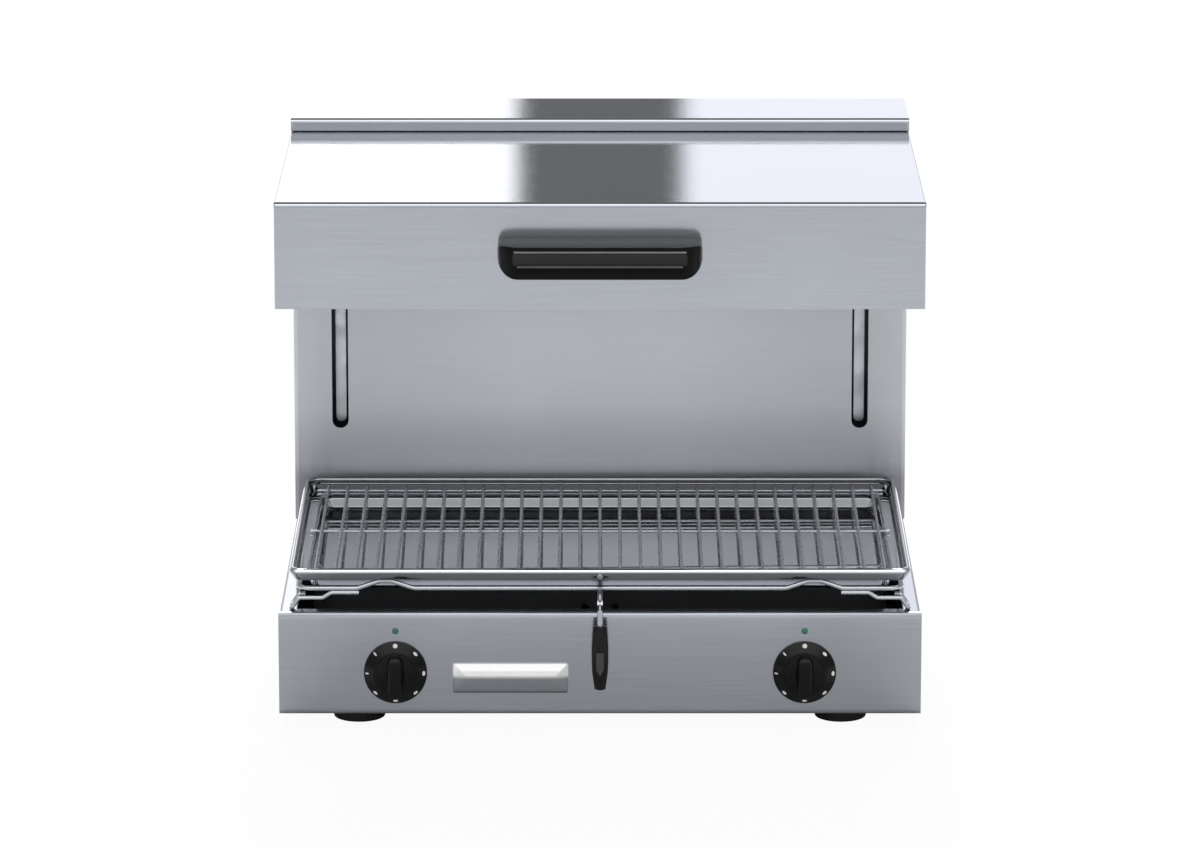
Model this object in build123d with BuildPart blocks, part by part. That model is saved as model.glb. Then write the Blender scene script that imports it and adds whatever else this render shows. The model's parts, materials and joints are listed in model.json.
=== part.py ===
import os

from build123d import *

os.makedirs("parts", exist_ok=True)

# Overall sizes, in millimetres
width = 600.0  # base, column and hood share one width
body_depth = 460.0  # front panel face to rear panel face
base_height = 98.4
column_height = 500.0  # underside of the base to the top of the cap
column_depth = 104.5
foot_height = 18.0
sheet = 1.2  # stainless sheet of the casing
bend = 4.0  # outer radius of a folded edge
seam = 0.3  # gap left between separate sheets
slide_gap = 0.3  # gap between faces that slide past each other
fit_gap = 0.05  # radial running clearance of a shaft in its hole
drill_gap = 0.1  # radial clearance of a screw in its hole

# Base
side_flange = 17.0  # bright ledges along the top of the base's sides
return_depth = 14.0  # folds behind the front panel and under the sides
cover_depth = 72.0
cover_front_height = 91.6
cover_rear_height = 73.6
vent_length = 60.0
vent_width = 5.0
vent_pitch = 14.0
vent_columns = 3
floor_vents = 6
floor_vent_spacing = 120.0
rear_vents = 8
rear_vent_spacing = 96.0

# Feet
foot_taper = 5.0  # degrees
foot_radius = 24.5
foot_edge = 2.0
foot_side_inset = 73.0
foot_inset = 60.0
bolt_radius = 4.0
bolt_head_radius = 6.5
bolt_head_height = 5.0
bolt_recess = 8.0
recess_radius = 7.5

# Column
wrap_depth = 15.0  # column front panel folded round the column's sides
cap_overhang = 5.5
cap_lip = 12.0
cap_fold = 1.8
slot_inset = 45.4  # slot centre inside the casing's side
slot_width = 16.0
slot_bottom = 190.7  # above the underside of the base
slot_top = column_height - 20.0
rail_width = 10.0
rail_thickness = 6.0
rail_setback = 25.0
rail_bottom = 192.0
rail_top = column_height - 8.0
post_radius = 4.0
post_margin = 8.0

# Hood
hood_height = 99.5
hood_drop = 12.5  # hood top below the top of the cap, at rest
hood_gap = 1.5
hood_lip = 12.0
hood_edge = 1.5
reflector_sheet = 1.0
reflector_height = 40.0
reflector_margin = 22.0
terminal_space = 58.0
insulation_height = 34.0
tube_radius = 4.0
tube_height = 24.0
tube_runs = 6
tube_start = 30.0
tube_side_gap = 28.0
tube_end_gap = 22.0
sleeve_radius = 6.5
sleeve_flange = 9.0
sleeve_length = 10.0
support_width = 12.0
support_thickness = 2.0

# Hood handle
handle_width = 188.0
handle_reach = 44.0
handle_height = 26.0
handle_thickness = 14.0
handle_corner = 22.0
handle_drop = 62.5  # hood top to the underside of the bar
handle_edge = 5.0
handle_low_corner = 18.0
handle_high_corner = 7.0
screw_radius = 2.5
screw_head_radius = 4.5
screw_head_height = 3.0
screw_depth = 14.0

# Lift carriage
cheek_thickness = 2.0
cheek_height = 68.0
cheek_bottom = 14.5  # above the lower edge of the hood
cheek_reach = 45.0  # behind the column's front face
arm_plate_width = 40.0
arm_plate_thickness = 3.0
shoe_height = 14.0
shoe_depth = 8.0
tie_thickness = 3.0
tie_height = 25.0
tie_ledge = 44.0
cylinder_radius = 9.0
cylinder_wall = 1.0
cylinder_length = 220.0
cylinder_inset = 100.0
cylinder_setback = 74.0
piston_length = 8.0
rod_radius = 4.0
anchor_size = 24.0
anchor_height = 10.0

# Controls
knob_inset = 109.0  # knob centre inside the casing's side
knob_height = 41.0
skirt_radius = 29.5
skirt_edge = 2.0
hub_radius = 19.5
skirt_depth = 9.0
hub_depth = 12.0
grip_bar_width = 14.0
knob_depth = 30.0
knob_standoff = 0.6
knob_edge = 1.5
shaft_radius = 3.0
shaft_hole_radius = 4.0
shaft_seat = 16.0
regulator_width = 44.0
regulator_height = 48.0
regulator_depth = 40.0
collar_radius = 8.0
collar_length = 5.0
lamp_height = 80.7
lens_radius = 3.0
lens_dome = 1.6
holder_radius = 5.0
holder_length = 22.0
badge_knob_gap = 23.9
badge_grip_gap = 29.6  # from the casing's middle
badge_height = 29.0
badge_depth = 3.0
badge_level = 35.5
badge_corner = 3.0
badge_bevel = 1.6

# Supply
gland_reach = 20.0
gland_radius = 12.0
gland_bore = 5.0
gland_thread = 8.0
gland_flange = 4.0
gland_nut_radius = 9.8
gland_thread_length = 7.2
gland_x = 130.0
gland_level = 46.0
locknut_height = 5.0
block_width = 60.0
block_depth = 24.0
block_height = 22.0
block_ways = 4
block_pitch = 15.0
block_hole_radius = 4.3
block_hole_depth = 5.5
block_setback = 40.0
wire_radius = 2.5
wire_bend = 8.0
wire_turn = 12.0
wire_spacing = 30.0
wire_level = 6.0
grommet_gap = 1.5

# Drip tray
rim_inset = 10.0  # rim inside the casing's side
rim_depth = 350.0
rim_height = 41.6  # rim above the base's side ledges
rim_bead = 2.0
rim_overhang = 1.5
lip_height = 10.5
tray_depth = 20.5
tray_sheet = 1.0
ledge_width = 16.0
tray_taper = 24.0
tray_corner = 10.0
tray_fold = 3.0
rivet_radius = 2.8
rivet_height = 2.6
rivet_drop = 7.2

# Wire grid
bar_radius = 1.5
bar_count = 29
bar_margin = 24.0  # outermost bar inside the rim
bar_end_gap = 10.0
cross_end_gap = 13.0
cross_inset = 13.0
cross_count = 3

# Wire carrier
loop_radius = 2.25
loop_inset = 8.0  # loop centre inside the tray's rim
loop_corner = 12.0
bump_height = 7.0
bump_length = 52.0
bump_top = 12.0
bump_inset = 82.0  # bump's middle inside the loop's side
leg_radius = 2.0
leg_inset = 12.0  # foot of a leg inside the casing's side
leg_splay = 7.0
leg_reach = 30.4
leg_slope = 8.0
leg_step = 5.0
leg_weld = 25.6
leg_back = 15.0
leg_tail = 5.5
leg_bend = 4.0
clevis_wall = 1.2
clevis_gap = 2.4
clevis_height = 6.0
hinge_out = 18.0
hinge_level = 13.0  # above the base's side ledges
hinge_radius = 1.2
eye_radius = 3.0
eye_width = 4.8
neck_radius = 2.6
neck_length = 21.0
grip_length = 61.0
grip_top_width = 12.2
grip_mid_width = 15.5
grip_end_width = 9.8
grip_ratio = 0.84
grip_corner = 3.5
grip_edge = 1.5
neck_seat = 20.0

# Fasteners of the rear panel
rear_screw_radius = 2.0
rear_screw_head = 4.0
rear_screw_height = 2.2
rear_screw_length = 7.0
rear_screw_rows = 5
rear_screw_margin = 28.0

# Places worked out from the sizes
half = width / 2
front_y = -(body_depth + gland_reach - handle_reach) / 2
rear_y = front_y + body_depth
column_y = rear_y - column_depth
base_z = foot_height
deck_z = base_z + base_height
floor_top = base_z + 2 * sheet
cap_z = base_z + column_height
panel_top = cap_z - sheet
hood_top = cap_z - hood_drop
hood_base = hood_top - hood_height
hood_rear = column_y - hood_gap
slot_x = half - slot_inset
knob_x = half - knob_inset
knob_z = base_z + knob_height
badge_width = knob_x - skirt_radius - badge_knob_gap - badge_grip_gap
badge_centre = -(badge_grip_gap + badge_width / 2)
rail_y = column_y + rail_setback
rim_width = width - 2 * rim_inset
tray_y = front_y + rim_depth / 2
rim_z = deck_z + rim_height
ledge_z = rim_z - lip_height
loop_z = ledge_z - slide_gap - loop_radius - bump_height
loop_x = rim_width / 2 - loop_inset
loop_y = front_y + loop_inset
leg_foot = half - leg_inset
leg_elbow = leg_foot - leg_splay
leg_jog = leg_elbow - leg_reach
hinge_y = front_y - hinge_out
hinge_z = deck_z + hinge_level
foot_places = [(x, y) for x in (foot_side_inset - half, half - foot_side_inset)
               for y in (front_y + foot_inset, rear_y - foot_inset)]
sides = (("left", -1), ("right", 1))


def upright(y):
    """Plane facing the front at depth y, with local x along X and local y along Z."""
    return Plane.XZ.offset(-y)


def save(piece, name):
    """Label a finished piece and write it."""
    piece.part.label = name
    export_step(piece.part, f"parts/{name}.step")


# Base casing
with BuildPart() as base_front_panel:
    with BuildSketch(Plane.YZ):
        with BuildLine():
            FilletPolyline(
                (front_y + return_depth, deck_z),
                (front_y, deck_z),
                (front_y, base_z),
                (front_y + return_depth, base_z),
                radius=bend,
            )
            offset(amount=sheet, side=Side.LEFT)
        make_face()
    extrude(amount=half, both=True)
    with Locations((-half, front_y + bend, base_z), (half, front_y + bend, base_z)):
        Box(
            2 * (side_flange + seam),
            return_depth,
            2 * base_height + bend,
            align=(Align.CENTER, Align.MIN, Align.CENTER),
            mode=Mode.SUBTRACT,
        )
    with BuildSketch(upright(front_y)):
        with Locations((-knob_x, knob_z), (knob_x, knob_z)):
            Circle(shaft_hole_radius)
        with Locations((-knob_x, base_z + lamp_height), (knob_x, base_z + lamp_height)):
            Circle(lens_radius + drill_gap)
    extrude(amount=-bend, mode=Mode.SUBTRACT)
save(base_front_panel, "base_front_panel")

for side, sign in sides:
    with BuildPart() as base_side:
        with BuildSketch(Plane.XZ.offset(-(front_y + sheet))):
            with BuildLine():
                FilletPolyline(
                    (sign * (half - side_flange), deck_z),
                    (sign * half, deck_z),
                    (sign * half, base_z),
                    (sign * (half - return_depth), base_z),
                    radius=bend,
                )
                offset(amount=sheet, side=Side.LEFT if sign < 0 else Side.RIGHT)
            make_face()
        extrude(amount=-(body_depth - 2 * sheet))
        with Locations((sign * half, front_y, deck_z), (sign * half, front_y, base_z)):
            Box(4 * side_flange, 2 * bend, 2 * bend, mode=Mode.SUBTRACT)
    save(base_side, f"base_{side}_side")

floor_width = width - 2 * bend
with BuildPart() as base_floor:
    with BuildSketch(Plane.XY.offset(base_z + sheet)):
        with Locations((0, (front_y + bend + rear_y - sheet) / 2)):
            Rectangle(floor_width, body_depth - bend - sheet)
        with Locations(*foot_places):
            Circle(bolt_radius + drill_gap, mode=Mode.SUBTRACT)
        with Locations((0, (front_y + cover_depth + column_y) / 2)):
            with GridLocations(floor_vent_spacing, vent_pitch, vent_columns, floor_vents):
                SlotOverall(vent_length, vent_width, mode=Mode.SUBTRACT)
    extrude(amount=sheet)
save(base_floor, "base_floor")

wire_z = floor_top + wire_level
with BuildPart() as control_cover:
    with BuildSketch(Plane.YZ):
        with BuildLine():
            FilletPolyline(
                (front_y + 2 * sheet, floor_top + cover_front_height),
                (front_y + cover_depth, floor_top + cover_rear_height),
                (front_y + cover_depth, floor_top),
                radius=bend,
            )
            offset(amount=sheet, side=Side.RIGHT)
        make_face()
    extrude(amount=half - bend, both=True)
    with BuildSketch(upright(front_y + cover_depth)):
        with Locations((-wire_spacing / 2, wire_z), (wire_spacing / 2, wire_z)):
            Circle(wire_radius + grommet_gap)
    extrude(amount=sheet, both=True, mode=Mode.SUBTRACT)
save(control_cover, "control_cover")

# Column casing
with BuildPart() as column_front_panel:
    with BuildSketch(Plane.XY.offset(deck_z)):
        with BuildLine():
            FilletPolyline(
                (-half, column_y + wrap_depth),
                (-half, column_y),
                (half, column_y),
                (half, column_y + wrap_depth),
                radius=bend,
            )
            offset(amount=sheet, side=Side.LEFT)
        make_face()
    extrude(amount=panel_top - deck_z)
    with BuildSketch(upright(column_y)):
        with Locations((0, (floor_top + deck_z) / 2)):
            Rectangle(width - 2 * (side_flange + seam), deck_z - floor_top)
    extrude(amount=-sheet)
    with BuildSketch(upright(column_y)):
        with Locations(
            (-slot_x, base_z + (slot_bottom + slot_top) / 2),
            (slot_x, base_z + (slot_bottom + slot_top) / 2),
        ):
            SlotOverall(slot_top - slot_bottom, slot_width, rotation=90)
        with Locations((-wire_spacing / 2, wire_z), (wire_spacing / 2, wire_z)):
            Circle(wire_radius + grommet_gap)
    extrude(amount=sheet, both=True, mode=Mode.SUBTRACT)
save(column_front_panel, "column_front_panel")

rear_flange = 2 * return_depth
screw_x = half - sheet - return_depth
screw_low = deck_z + rear_screw_margin
screw_step = (panel_top - rear_screw_margin - screw_low) / (rear_screw_rows - 1)
screw_places = [(sign * screw_x, screw_low + row * screw_step)
                for sign in (-1, 1) for row in range(rear_screw_rows)]

for side, sign in sides:
    with BuildPart() as column_side:
        with BuildSketch(Plane.XY.offset(deck_z)):
            with BuildLine():
                FilletPolyline(
                    (sign * half, column_y + wrap_depth),
                    (sign * half, rear_y - sheet),
                    (sign * (half - rear_flange), rear_y - sheet),
                    radius=bend,
                )
                offset(amount=sheet, side=Side.RIGHT if sign < 0 else Side.LEFT)
            make_face()
        extrude(amount=panel_top - deck_z)
        with BuildSketch(upright(rear_y - sheet)):
            with Locations(*[place for place in screw_places if place[0] * sign > 0]):
                Circle(rear_screw_radius + drill_gap)
        extrude(amount=sheet, both=True, mode=Mode.SUBTRACT)
    save(column_side, f"column_{side}_side")

gland_z = base_z + gland_level
vent_z = (deck_z + panel_top) / 2
with BuildPart() as rear_panel:
    with BuildSketch(upright(rear_y - sheet)):
        with Locations((0, (base_z + panel_top) / 2)):
            Rectangle(width, panel_top - base_z)
        with Locations((gland_x, gland_z)):
            Circle(gland_thread + drill_gap, mode=Mode.SUBTRACT)
        with Locations(*screw_places):
            Circle(rear_screw_radius + drill_gap, mode=Mode.SUBTRACT)
        with Locations((0, vent_z)):
            with GridLocations(rear_vent_spacing, vent_pitch, vent_columns, rear_vents):
                SlotOverall(vent_length, vent_width, mode=Mode.SUBTRACT)
    extrude(amount=-sheet)
save(rear_panel, "rear_panel")

with BuildPart() as rear_panel_screws:
    with BuildSketch(upright(rear_y)):
        with Locations(*screw_places):
            Circle(rear_screw_head)
    extrude(amount=-rear_screw_height)
    fillet(rear_panel_screws.edges().group_by(Axis.Y)[-1], rear_screw_height / 2)
    with BuildSketch(upright(rear_y)):
        with Locations(*screw_places):
            Circle(rear_screw_radius)
    extrude(amount=rear_screw_length)
save(rear_panel_screws, "rear_panel_screws")

with BuildPart() as column_cap:
    with BuildSketch(Plane.YZ):
        with BuildLine():
            FilletPolyline(
                (rear_y, cap_z),
                (column_y - cap_overhang, cap_z),
                (column_y - cap_overhang, cap_z - cap_lip),
                (column_y - seam, cap_z - cap_lip),
                radius=(bend, cap_fold),
            )
            offset(amount=sheet, side=Side.LEFT)
        make_face()
    extrude(amount=half, both=True)
save(column_cap, "column_cap")

# Feet
foot_seat = base_z + sheet
with BuildPart() as feet:
    with BuildSketch(Plane.XY):
        with Locations(*foot_places):
            Circle(foot_radius)
    extrude(amount=foot_seat, taper=foot_taper)
    fillet(feet.edges().group_by(Axis.Z)[0], foot_edge)
    with Locations(*[(x, y, 0) for x, y in foot_places]):
        Cylinder(
            recess_radius,
            bolt_recess,
            align=(Align.CENTER, Align.CENTER, Align.MIN),
            mode=Mode.SUBTRACT,
        )
        Cylinder(
            bolt_radius + drill_gap,
            foot_seat,
            align=(Align.CENTER, Align.CENTER, Align.MIN),
            mode=Mode.SUBTRACT,
        )
save(feet, "feet")

with BuildPart() as foot_bolts:
    with BuildSketch(Plane.XY.offset(bolt_recess)):
        with Locations(*foot_places):
            RegularPolygon(bolt_head_radius, 6)
    extrude(amount=-bolt_head_height)
    with BuildSketch(Plane.XY.offset(bolt_recess)):
        with Locations(*foot_places):
            Circle(bolt_radius)
    extrude(amount=floor_top + bolt_head_height - bolt_recess)
    with BuildSketch(Plane.XY.offset(floor_top)):
        with Locations(*foot_places):
            RegularPolygon(bolt_head_radius, 6)
    extrude(amount=bolt_head_height)
save(foot_bolts, "foot_bolts")

# Lift guides
rail_low = base_z + rail_bottom
rail_high = base_z + rail_top
for side, sign in sides:
    with BuildPart() as guide_rail:
        with BuildSketch(upright(rail_y)):
            with Locations((sign * slot_x, (rail_low + rail_high) / 2)):
                Rectangle(rail_width, rail_high - rail_low)
        extrude(amount=-rail_thickness)
        fillet(guide_rail.edges().filter_by(Axis.Y).group_by(Axis.Z)[0], rail_width / 2 - drill_gap)
    save(guide_rail, f"{side}_guide_rail")

post_places = [(sign * slot_x, z) for sign in (-1, 1)
               for z in (rail_low + post_margin, rail_high - post_margin)]
with BuildPart() as rail_posts:
    with BuildSketch(upright(rail_y + rail_thickness)):
        with Locations(*post_places):
            Circle(post_radius)
    extrude(amount=-(rear_y - sheet - rail_y - rail_thickness))
save(rail_posts, "rail_posts")

# Hood casing
hood_depth = hood_rear - front_y
bow_x = (handle_width - handle_thickness) / 2
bow_z = hood_top - handle_drop + handle_height / 2
with BuildPart() as hood_shell:
    with Locations((0, front_y, hood_base)):
        Box(width, hood_depth, hood_height, align=(Align.CENTER, Align.MIN, Align.MIN))
    fillet(hood_shell.edges().filter_by(Axis.X).group_by(Axis.Z)[-1].sort_by(Axis.Y)[0], bend)
    fillet(hood_shell.edges().filter_by(Axis.Y).group_by(Axis.Z)[-1], hood_edge)
    openings = [hood_shell.faces().sort_by(Axis.Z)[0], hood_shell.faces().sort_by(Axis.Y)[-1]]
    offset(amount=-sheet, openings=openings)
    with BuildSketch(Plane.XY.offset(hood_base)):
        with Locations((0, (front_y + hood_rear) / 2)):
            Rectangle(width - sheet, hood_depth)
        with Locations((0, (front_y + sheet + hood_lip + hood_rear) / 2)):
            Rectangle(
                width - 2 * (sheet + hood_lip),
                hood_depth - sheet - hood_lip,
                mode=Mode.SUBTRACT,
            )
        with Locations((0, front_y)):
            Rectangle(width, sheet, mode=Mode.SUBTRACT)
    extrude(amount=sheet)
    with BuildSketch(upright(front_y)):
        with Locations((-bow_x, bow_z), (bow_x, bow_z)):
            Circle(screw_radius + drill_gap)
    extrude(amount=-sheet, mode=Mode.SUBTRACT)
save(hood_shell, "hood_shell")

cheek_low = hood_base + cheek_bottom
cheek_mid = cheek_low + cheek_height / 2
cheek_inner = rail_width / 2 + slide_gap + fit_gap
cheek_outer = cheek_inner + cheek_thickness
with BuildPart() as hood_rear_plate:
    with BuildSketch(upright(hood_rear)):
        with Locations((0, (hood_base + hood_top) / 2)):
            Rectangle(width - 2 * (sheet + seam), hood_height - 2 * (sheet + seam))
        with Locations((-slot_x, cheek_mid), (slot_x, cheek_mid)):
            Rectangle(2 * (cheek_outer + seam), cheek_height + 2 * seam, mode=Mode.SUBTRACT)
    extrude(amount=sheet)
save(hood_rear_plate, "hood_rear_plate")

# Reflector, insulation and heating elements
brim_z = hood_base + sheet
dish_front = front_y + reflector_margin
dish_rear = hood_rear - terminal_space
dish_width = width - 2 * reflector_margin
dish_depth = dish_rear - dish_front
dish_mid = (dish_front + dish_rear) / 2
dish_top = brim_z + reflector_height
tube_z = hood_base + tube_height
tube_first = tube_start
tube_last = dish_width / 2 - tube_side_gap
tube_pitch = (tube_last - tube_first) / (tube_runs - 1)
tube_ends = [sign * x for sign in (-1, 1) for x in (tube_first, tube_last)]
with BuildPart() as reflector:
    with BuildSketch(Plane.XY.offset(brim_z)):
        with Locations((0, dish_mid)):
            Rectangle(dish_width, dish_depth)
    extrude(amount=reflector_height)
    fillet(reflector.edges().group_by(Axis.Z)[-1], bend)
    offset(amount=-reflector_sheet, openings=reflector.faces().sort_by(Axis.Z)[0])
    with BuildSketch(Plane.XY.offset(brim_z)):
        with Locations((0, dish_mid)):
            Rectangle(width - 2 * (sheet + seam), dish_depth + 2 * (reflector_margin - sheet - seam))
            Rectangle(
                dish_width - reflector_sheet,
                dish_depth - reflector_sheet,
                mode=Mode.SUBTRACT,
            )
    extrude(amount=reflector_sheet)
    with BuildSketch(upright(dish_rear)):
        with Locations(*[(x, tube_z) for x in tube_ends]):
            Circle(sleeve_radius + drill_gap)
    extrude(amount=2 * reflector_sheet, both=True, mode=Mode.SUBTRACT)
save(reflector, "reflector")

with BuildPart() as insulation:
    with BuildSketch(Plane.XY.offset(dish_top)):
        with Locations((0, dish_mid)):
            RectangleRounded(dish_width - 2 * bend, dish_depth - 2 * bend, bend)
    extrude(amount=insulation_height)
save(insulation, "insulation")

run_front = dish_front + tube_end_gap
run_rear = dish_rear - tube_end_gap
tube_tail = dish_rear + sleeve_length + tube_end_gap / 2
for side, sign in sides:
    with BuildPart() as element:
        with BuildLine() as route:
            corners = [(sign * tube_first, tube_tail, tube_z)]
            for run in range(tube_runs - 1):
                turn_y = run_front if run % 2 == 0 else run_rear
                corners.append((sign * (tube_first + run * tube_pitch), turn_y, tube_z))
                corners.append((sign * (tube_first + (run + 1) * tube_pitch), turn_y, tube_z))
            corners.append((sign * tube_last, tube_tail, tube_z))
            FilletPolyline(*corners, radius=tube_pitch / 2 - drill_gap)
        with BuildSketch(Plane(route.line @ 0, z_dir=route.line % 0)):
            Circle(tube_radius)
        sweep(path=route.line)
    save(element, f"{side}_element")

with BuildPart() as element_sleeves:
    with BuildSketch(upright(dish_rear - reflector_sheet)):
        with Locations(*[(x, tube_z) for x in tube_ends]):
            Circle(sleeve_radius)
    extrude(amount=-sleeve_length)
    with BuildSketch(upright(dish_rear)):
        with Locations(*[(x, tube_z) for x in tube_ends]):
            Circle(sleeve_flange)
    extrude(amount=-sleeve_length / 2)
    with BuildSketch(upright(dish_rear)):
        with Locations(*[(x, tube_z) for x in tube_ends]):
            Circle(tube_radius + fit_gap)
    extrude(amount=2 * sleeve_length, both=True, mode=Mode.SUBTRACT)
save(element_sleeves, "element_sleeves")

support_top = tube_z - tube_radius
support_places = [(0, dish_mid - dish_depth / 4), (0, dish_mid + dish_depth / 4)]
with BuildPart() as element_supports:
    with BuildSketch(Plane.XY.offset(support_top)):
        with Locations(*support_places):
            Rectangle(dish_width - 2 * reflector_sheet, support_width)
    extrude(amount=-support_thickness)
save(element_supports, "element_supports")

# Hood handle: a bow with large lower corners
with BuildPart() as hood_handle:
    with BuildLine(Plane.XY.offset(bow_z)) as bow:
        FilletPolyline(
            (-bow_x, front_y),
            (-bow_x, front_y - handle_reach + handle_thickness / 2),
            (bow_x, front_y - handle_reach + handle_thickness / 2),
            (bow_x, front_y),
            radius=handle_corner,
        )
    with BuildSketch(Plane(bow.line @ 0, x_dir=(-1, 0, 0), z_dir=bow.line % 0)) as bow_section:
        Rectangle(handle_thickness, handle_height)
        fillet(bow_section.vertices(), handle_edge)
    sweep(path=bow.line)
    with BuildSketch(upright(front_y)) as bow_outline:
        with Locations((0, bow_z)):
            Rectangle(handle_width, handle_height)
        fillet(bow_outline.vertices().group_by(Axis.Y)[0], handle_low_corner)
        fillet(bow_outline.vertices().group_by(Axis.Y)[-1], handle_high_corner)
    extrude(amount=handle_reach, mode=Mode.INTERSECT)
    with BuildSketch(upright(front_y)):
        with Locations((-bow_x, bow_z), (bow_x, bow_z)):
            Circle(screw_radius + drill_gap)
    extrude(amount=screw_depth + drill_gap, mode=Mode.SUBTRACT)
save(hood_handle, "hood_handle")

with BuildPart() as handle_screws:
    with BuildSketch(upright(front_y + sheet)):
        with Locations((-bow_x, bow_z), (bow_x, bow_z)):
            Circle(screw_radius)
    extrude(amount=screw_depth + sheet)
    with BuildSketch(upright(front_y + sheet)):
        with Locations((-bow_x, bow_z), (bow_x, bow_z)):
            Circle(screw_head_radius)
    extrude(amount=-screw_head_height)
save(handle_screws, "handle_screws")

# Lift carriage
plate_y = hood_rear - sheet
cheek_rear = column_y + cheek_reach
for side, sign in sides:
    with BuildPart() as lift_arm:
        with BuildSketch(upright(plate_y)):
            with Locations((sign * slot_x, cheek_mid)):
                Rectangle(arm_plate_width, cheek_height)
        extrude(amount=arm_plate_thickness)
        with BuildSketch(upright(plate_y)):
            for cheek in (-1, 1):
                with Locations((sign * slot_x + cheek * (cheek_inner + cheek_thickness / 2), cheek_mid)):
                    Rectangle(cheek_thickness, cheek_height)
        extrude(amount=-(cheek_rear - plate_y))
    save(lift_arm, f"{side}_lift_arm")

shoe_levels = (cheek_low + shoe_height, cheek_low + cheek_height - shoe_height)
shoe_fronts = (rail_y - slide_gap - shoe_depth, rail_y + rail_thickness + slide_gap)
with BuildPart() as guide_shoes:
    for sign in (-1, 1):
        for level in shoe_levels:
            for shoe_front in shoe_fronts:
                with Locations((sign * slot_x, shoe_front, level)):
                    Box(
                        2 * cheek_inner,
                        shoe_depth,
                        shoe_height,
                        align=(Align.CENTER, Align.MIN, Align.CENTER),
                    )
save(guide_shoes, "guide_shoes")

tie_top = cheek_mid + tie_height / 2
with BuildPart() as carriage_tie:
    with BuildSketch(Plane.YZ):
        with BuildLine():
            FilletPolyline(
                (cheek_rear, tie_top - tie_height),
                (cheek_rear, tie_top),
                (cheek_rear + tie_ledge, tie_top),
                radius=bend,
            )
            offset(amount=tie_thickness, side=Side.RIGHT)
        make_face()
    extrude(amount=slot_x + cheek_outer, both=True)
save(carriage_tie, "carriage_tie")

# Gas springs that carry the hood's weight
cylinder_y = column_y + cylinder_setback
cylinder_low = floor_top + anchor_height
cylinder_high = cylinder_low + cylinder_length
rod_low = cylinder_high - 2 * cylinder_wall - piston_length - slide_gap
rod_high = tie_top - tie_thickness
spring_x = half - cylinder_inset
bore_radius = cylinder_radius - cylinder_wall
for side, sign in sides:
    spring_place = (sign * spring_x, cylinder_y)
    with BuildPart() as gas_cylinder:
        with BuildSketch(Plane.XY.offset(cylinder_low)):
            with Locations(spring_place):
                Circle(cylinder_radius)
        extrude(amount=cylinder_length)
        with BuildSketch(Plane.XY.offset(cylinder_low + 2 * cylinder_wall)):
            with Locations(spring_place):
                Circle(bore_radius)
        extrude(amount=cylinder_length - 4 * cylinder_wall, mode=Mode.SUBTRACT)
        with BuildSketch(Plane.XY.offset(cylinder_high)):
            with Locations(spring_place):
                Circle(rod_radius + fit_gap)
        extrude(amount=-4 * cylinder_wall, mode=Mode.SUBTRACT)
    save(gas_cylinder, f"{side}_gas_cylinder")

    with BuildPart() as gas_rod:
        with BuildSketch(Plane.XY.offset(rod_low)):
            with Locations(spring_place):
                Circle(rod_radius)
        extrude(amount=rod_high - rod_low)
        with BuildSketch(Plane.XY.offset(rod_low)):
            with Locations(spring_place):
                Circle(bore_radius - fit_gap)
        extrude(amount=piston_length)
    save(gas_rod, f"{side}_gas_rod")

with BuildPart() as spring_anchors:
    with BuildSketch(Plane.XY.offset(floor_top)):
        with Locations((-spring_x, cylinder_y), (spring_x, cylinder_y)):
            RectangleRounded(anchor_size, anchor_size, bend)
    extrude(amount=anchor_height)
save(spring_anchors, "spring_anchors")

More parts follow.
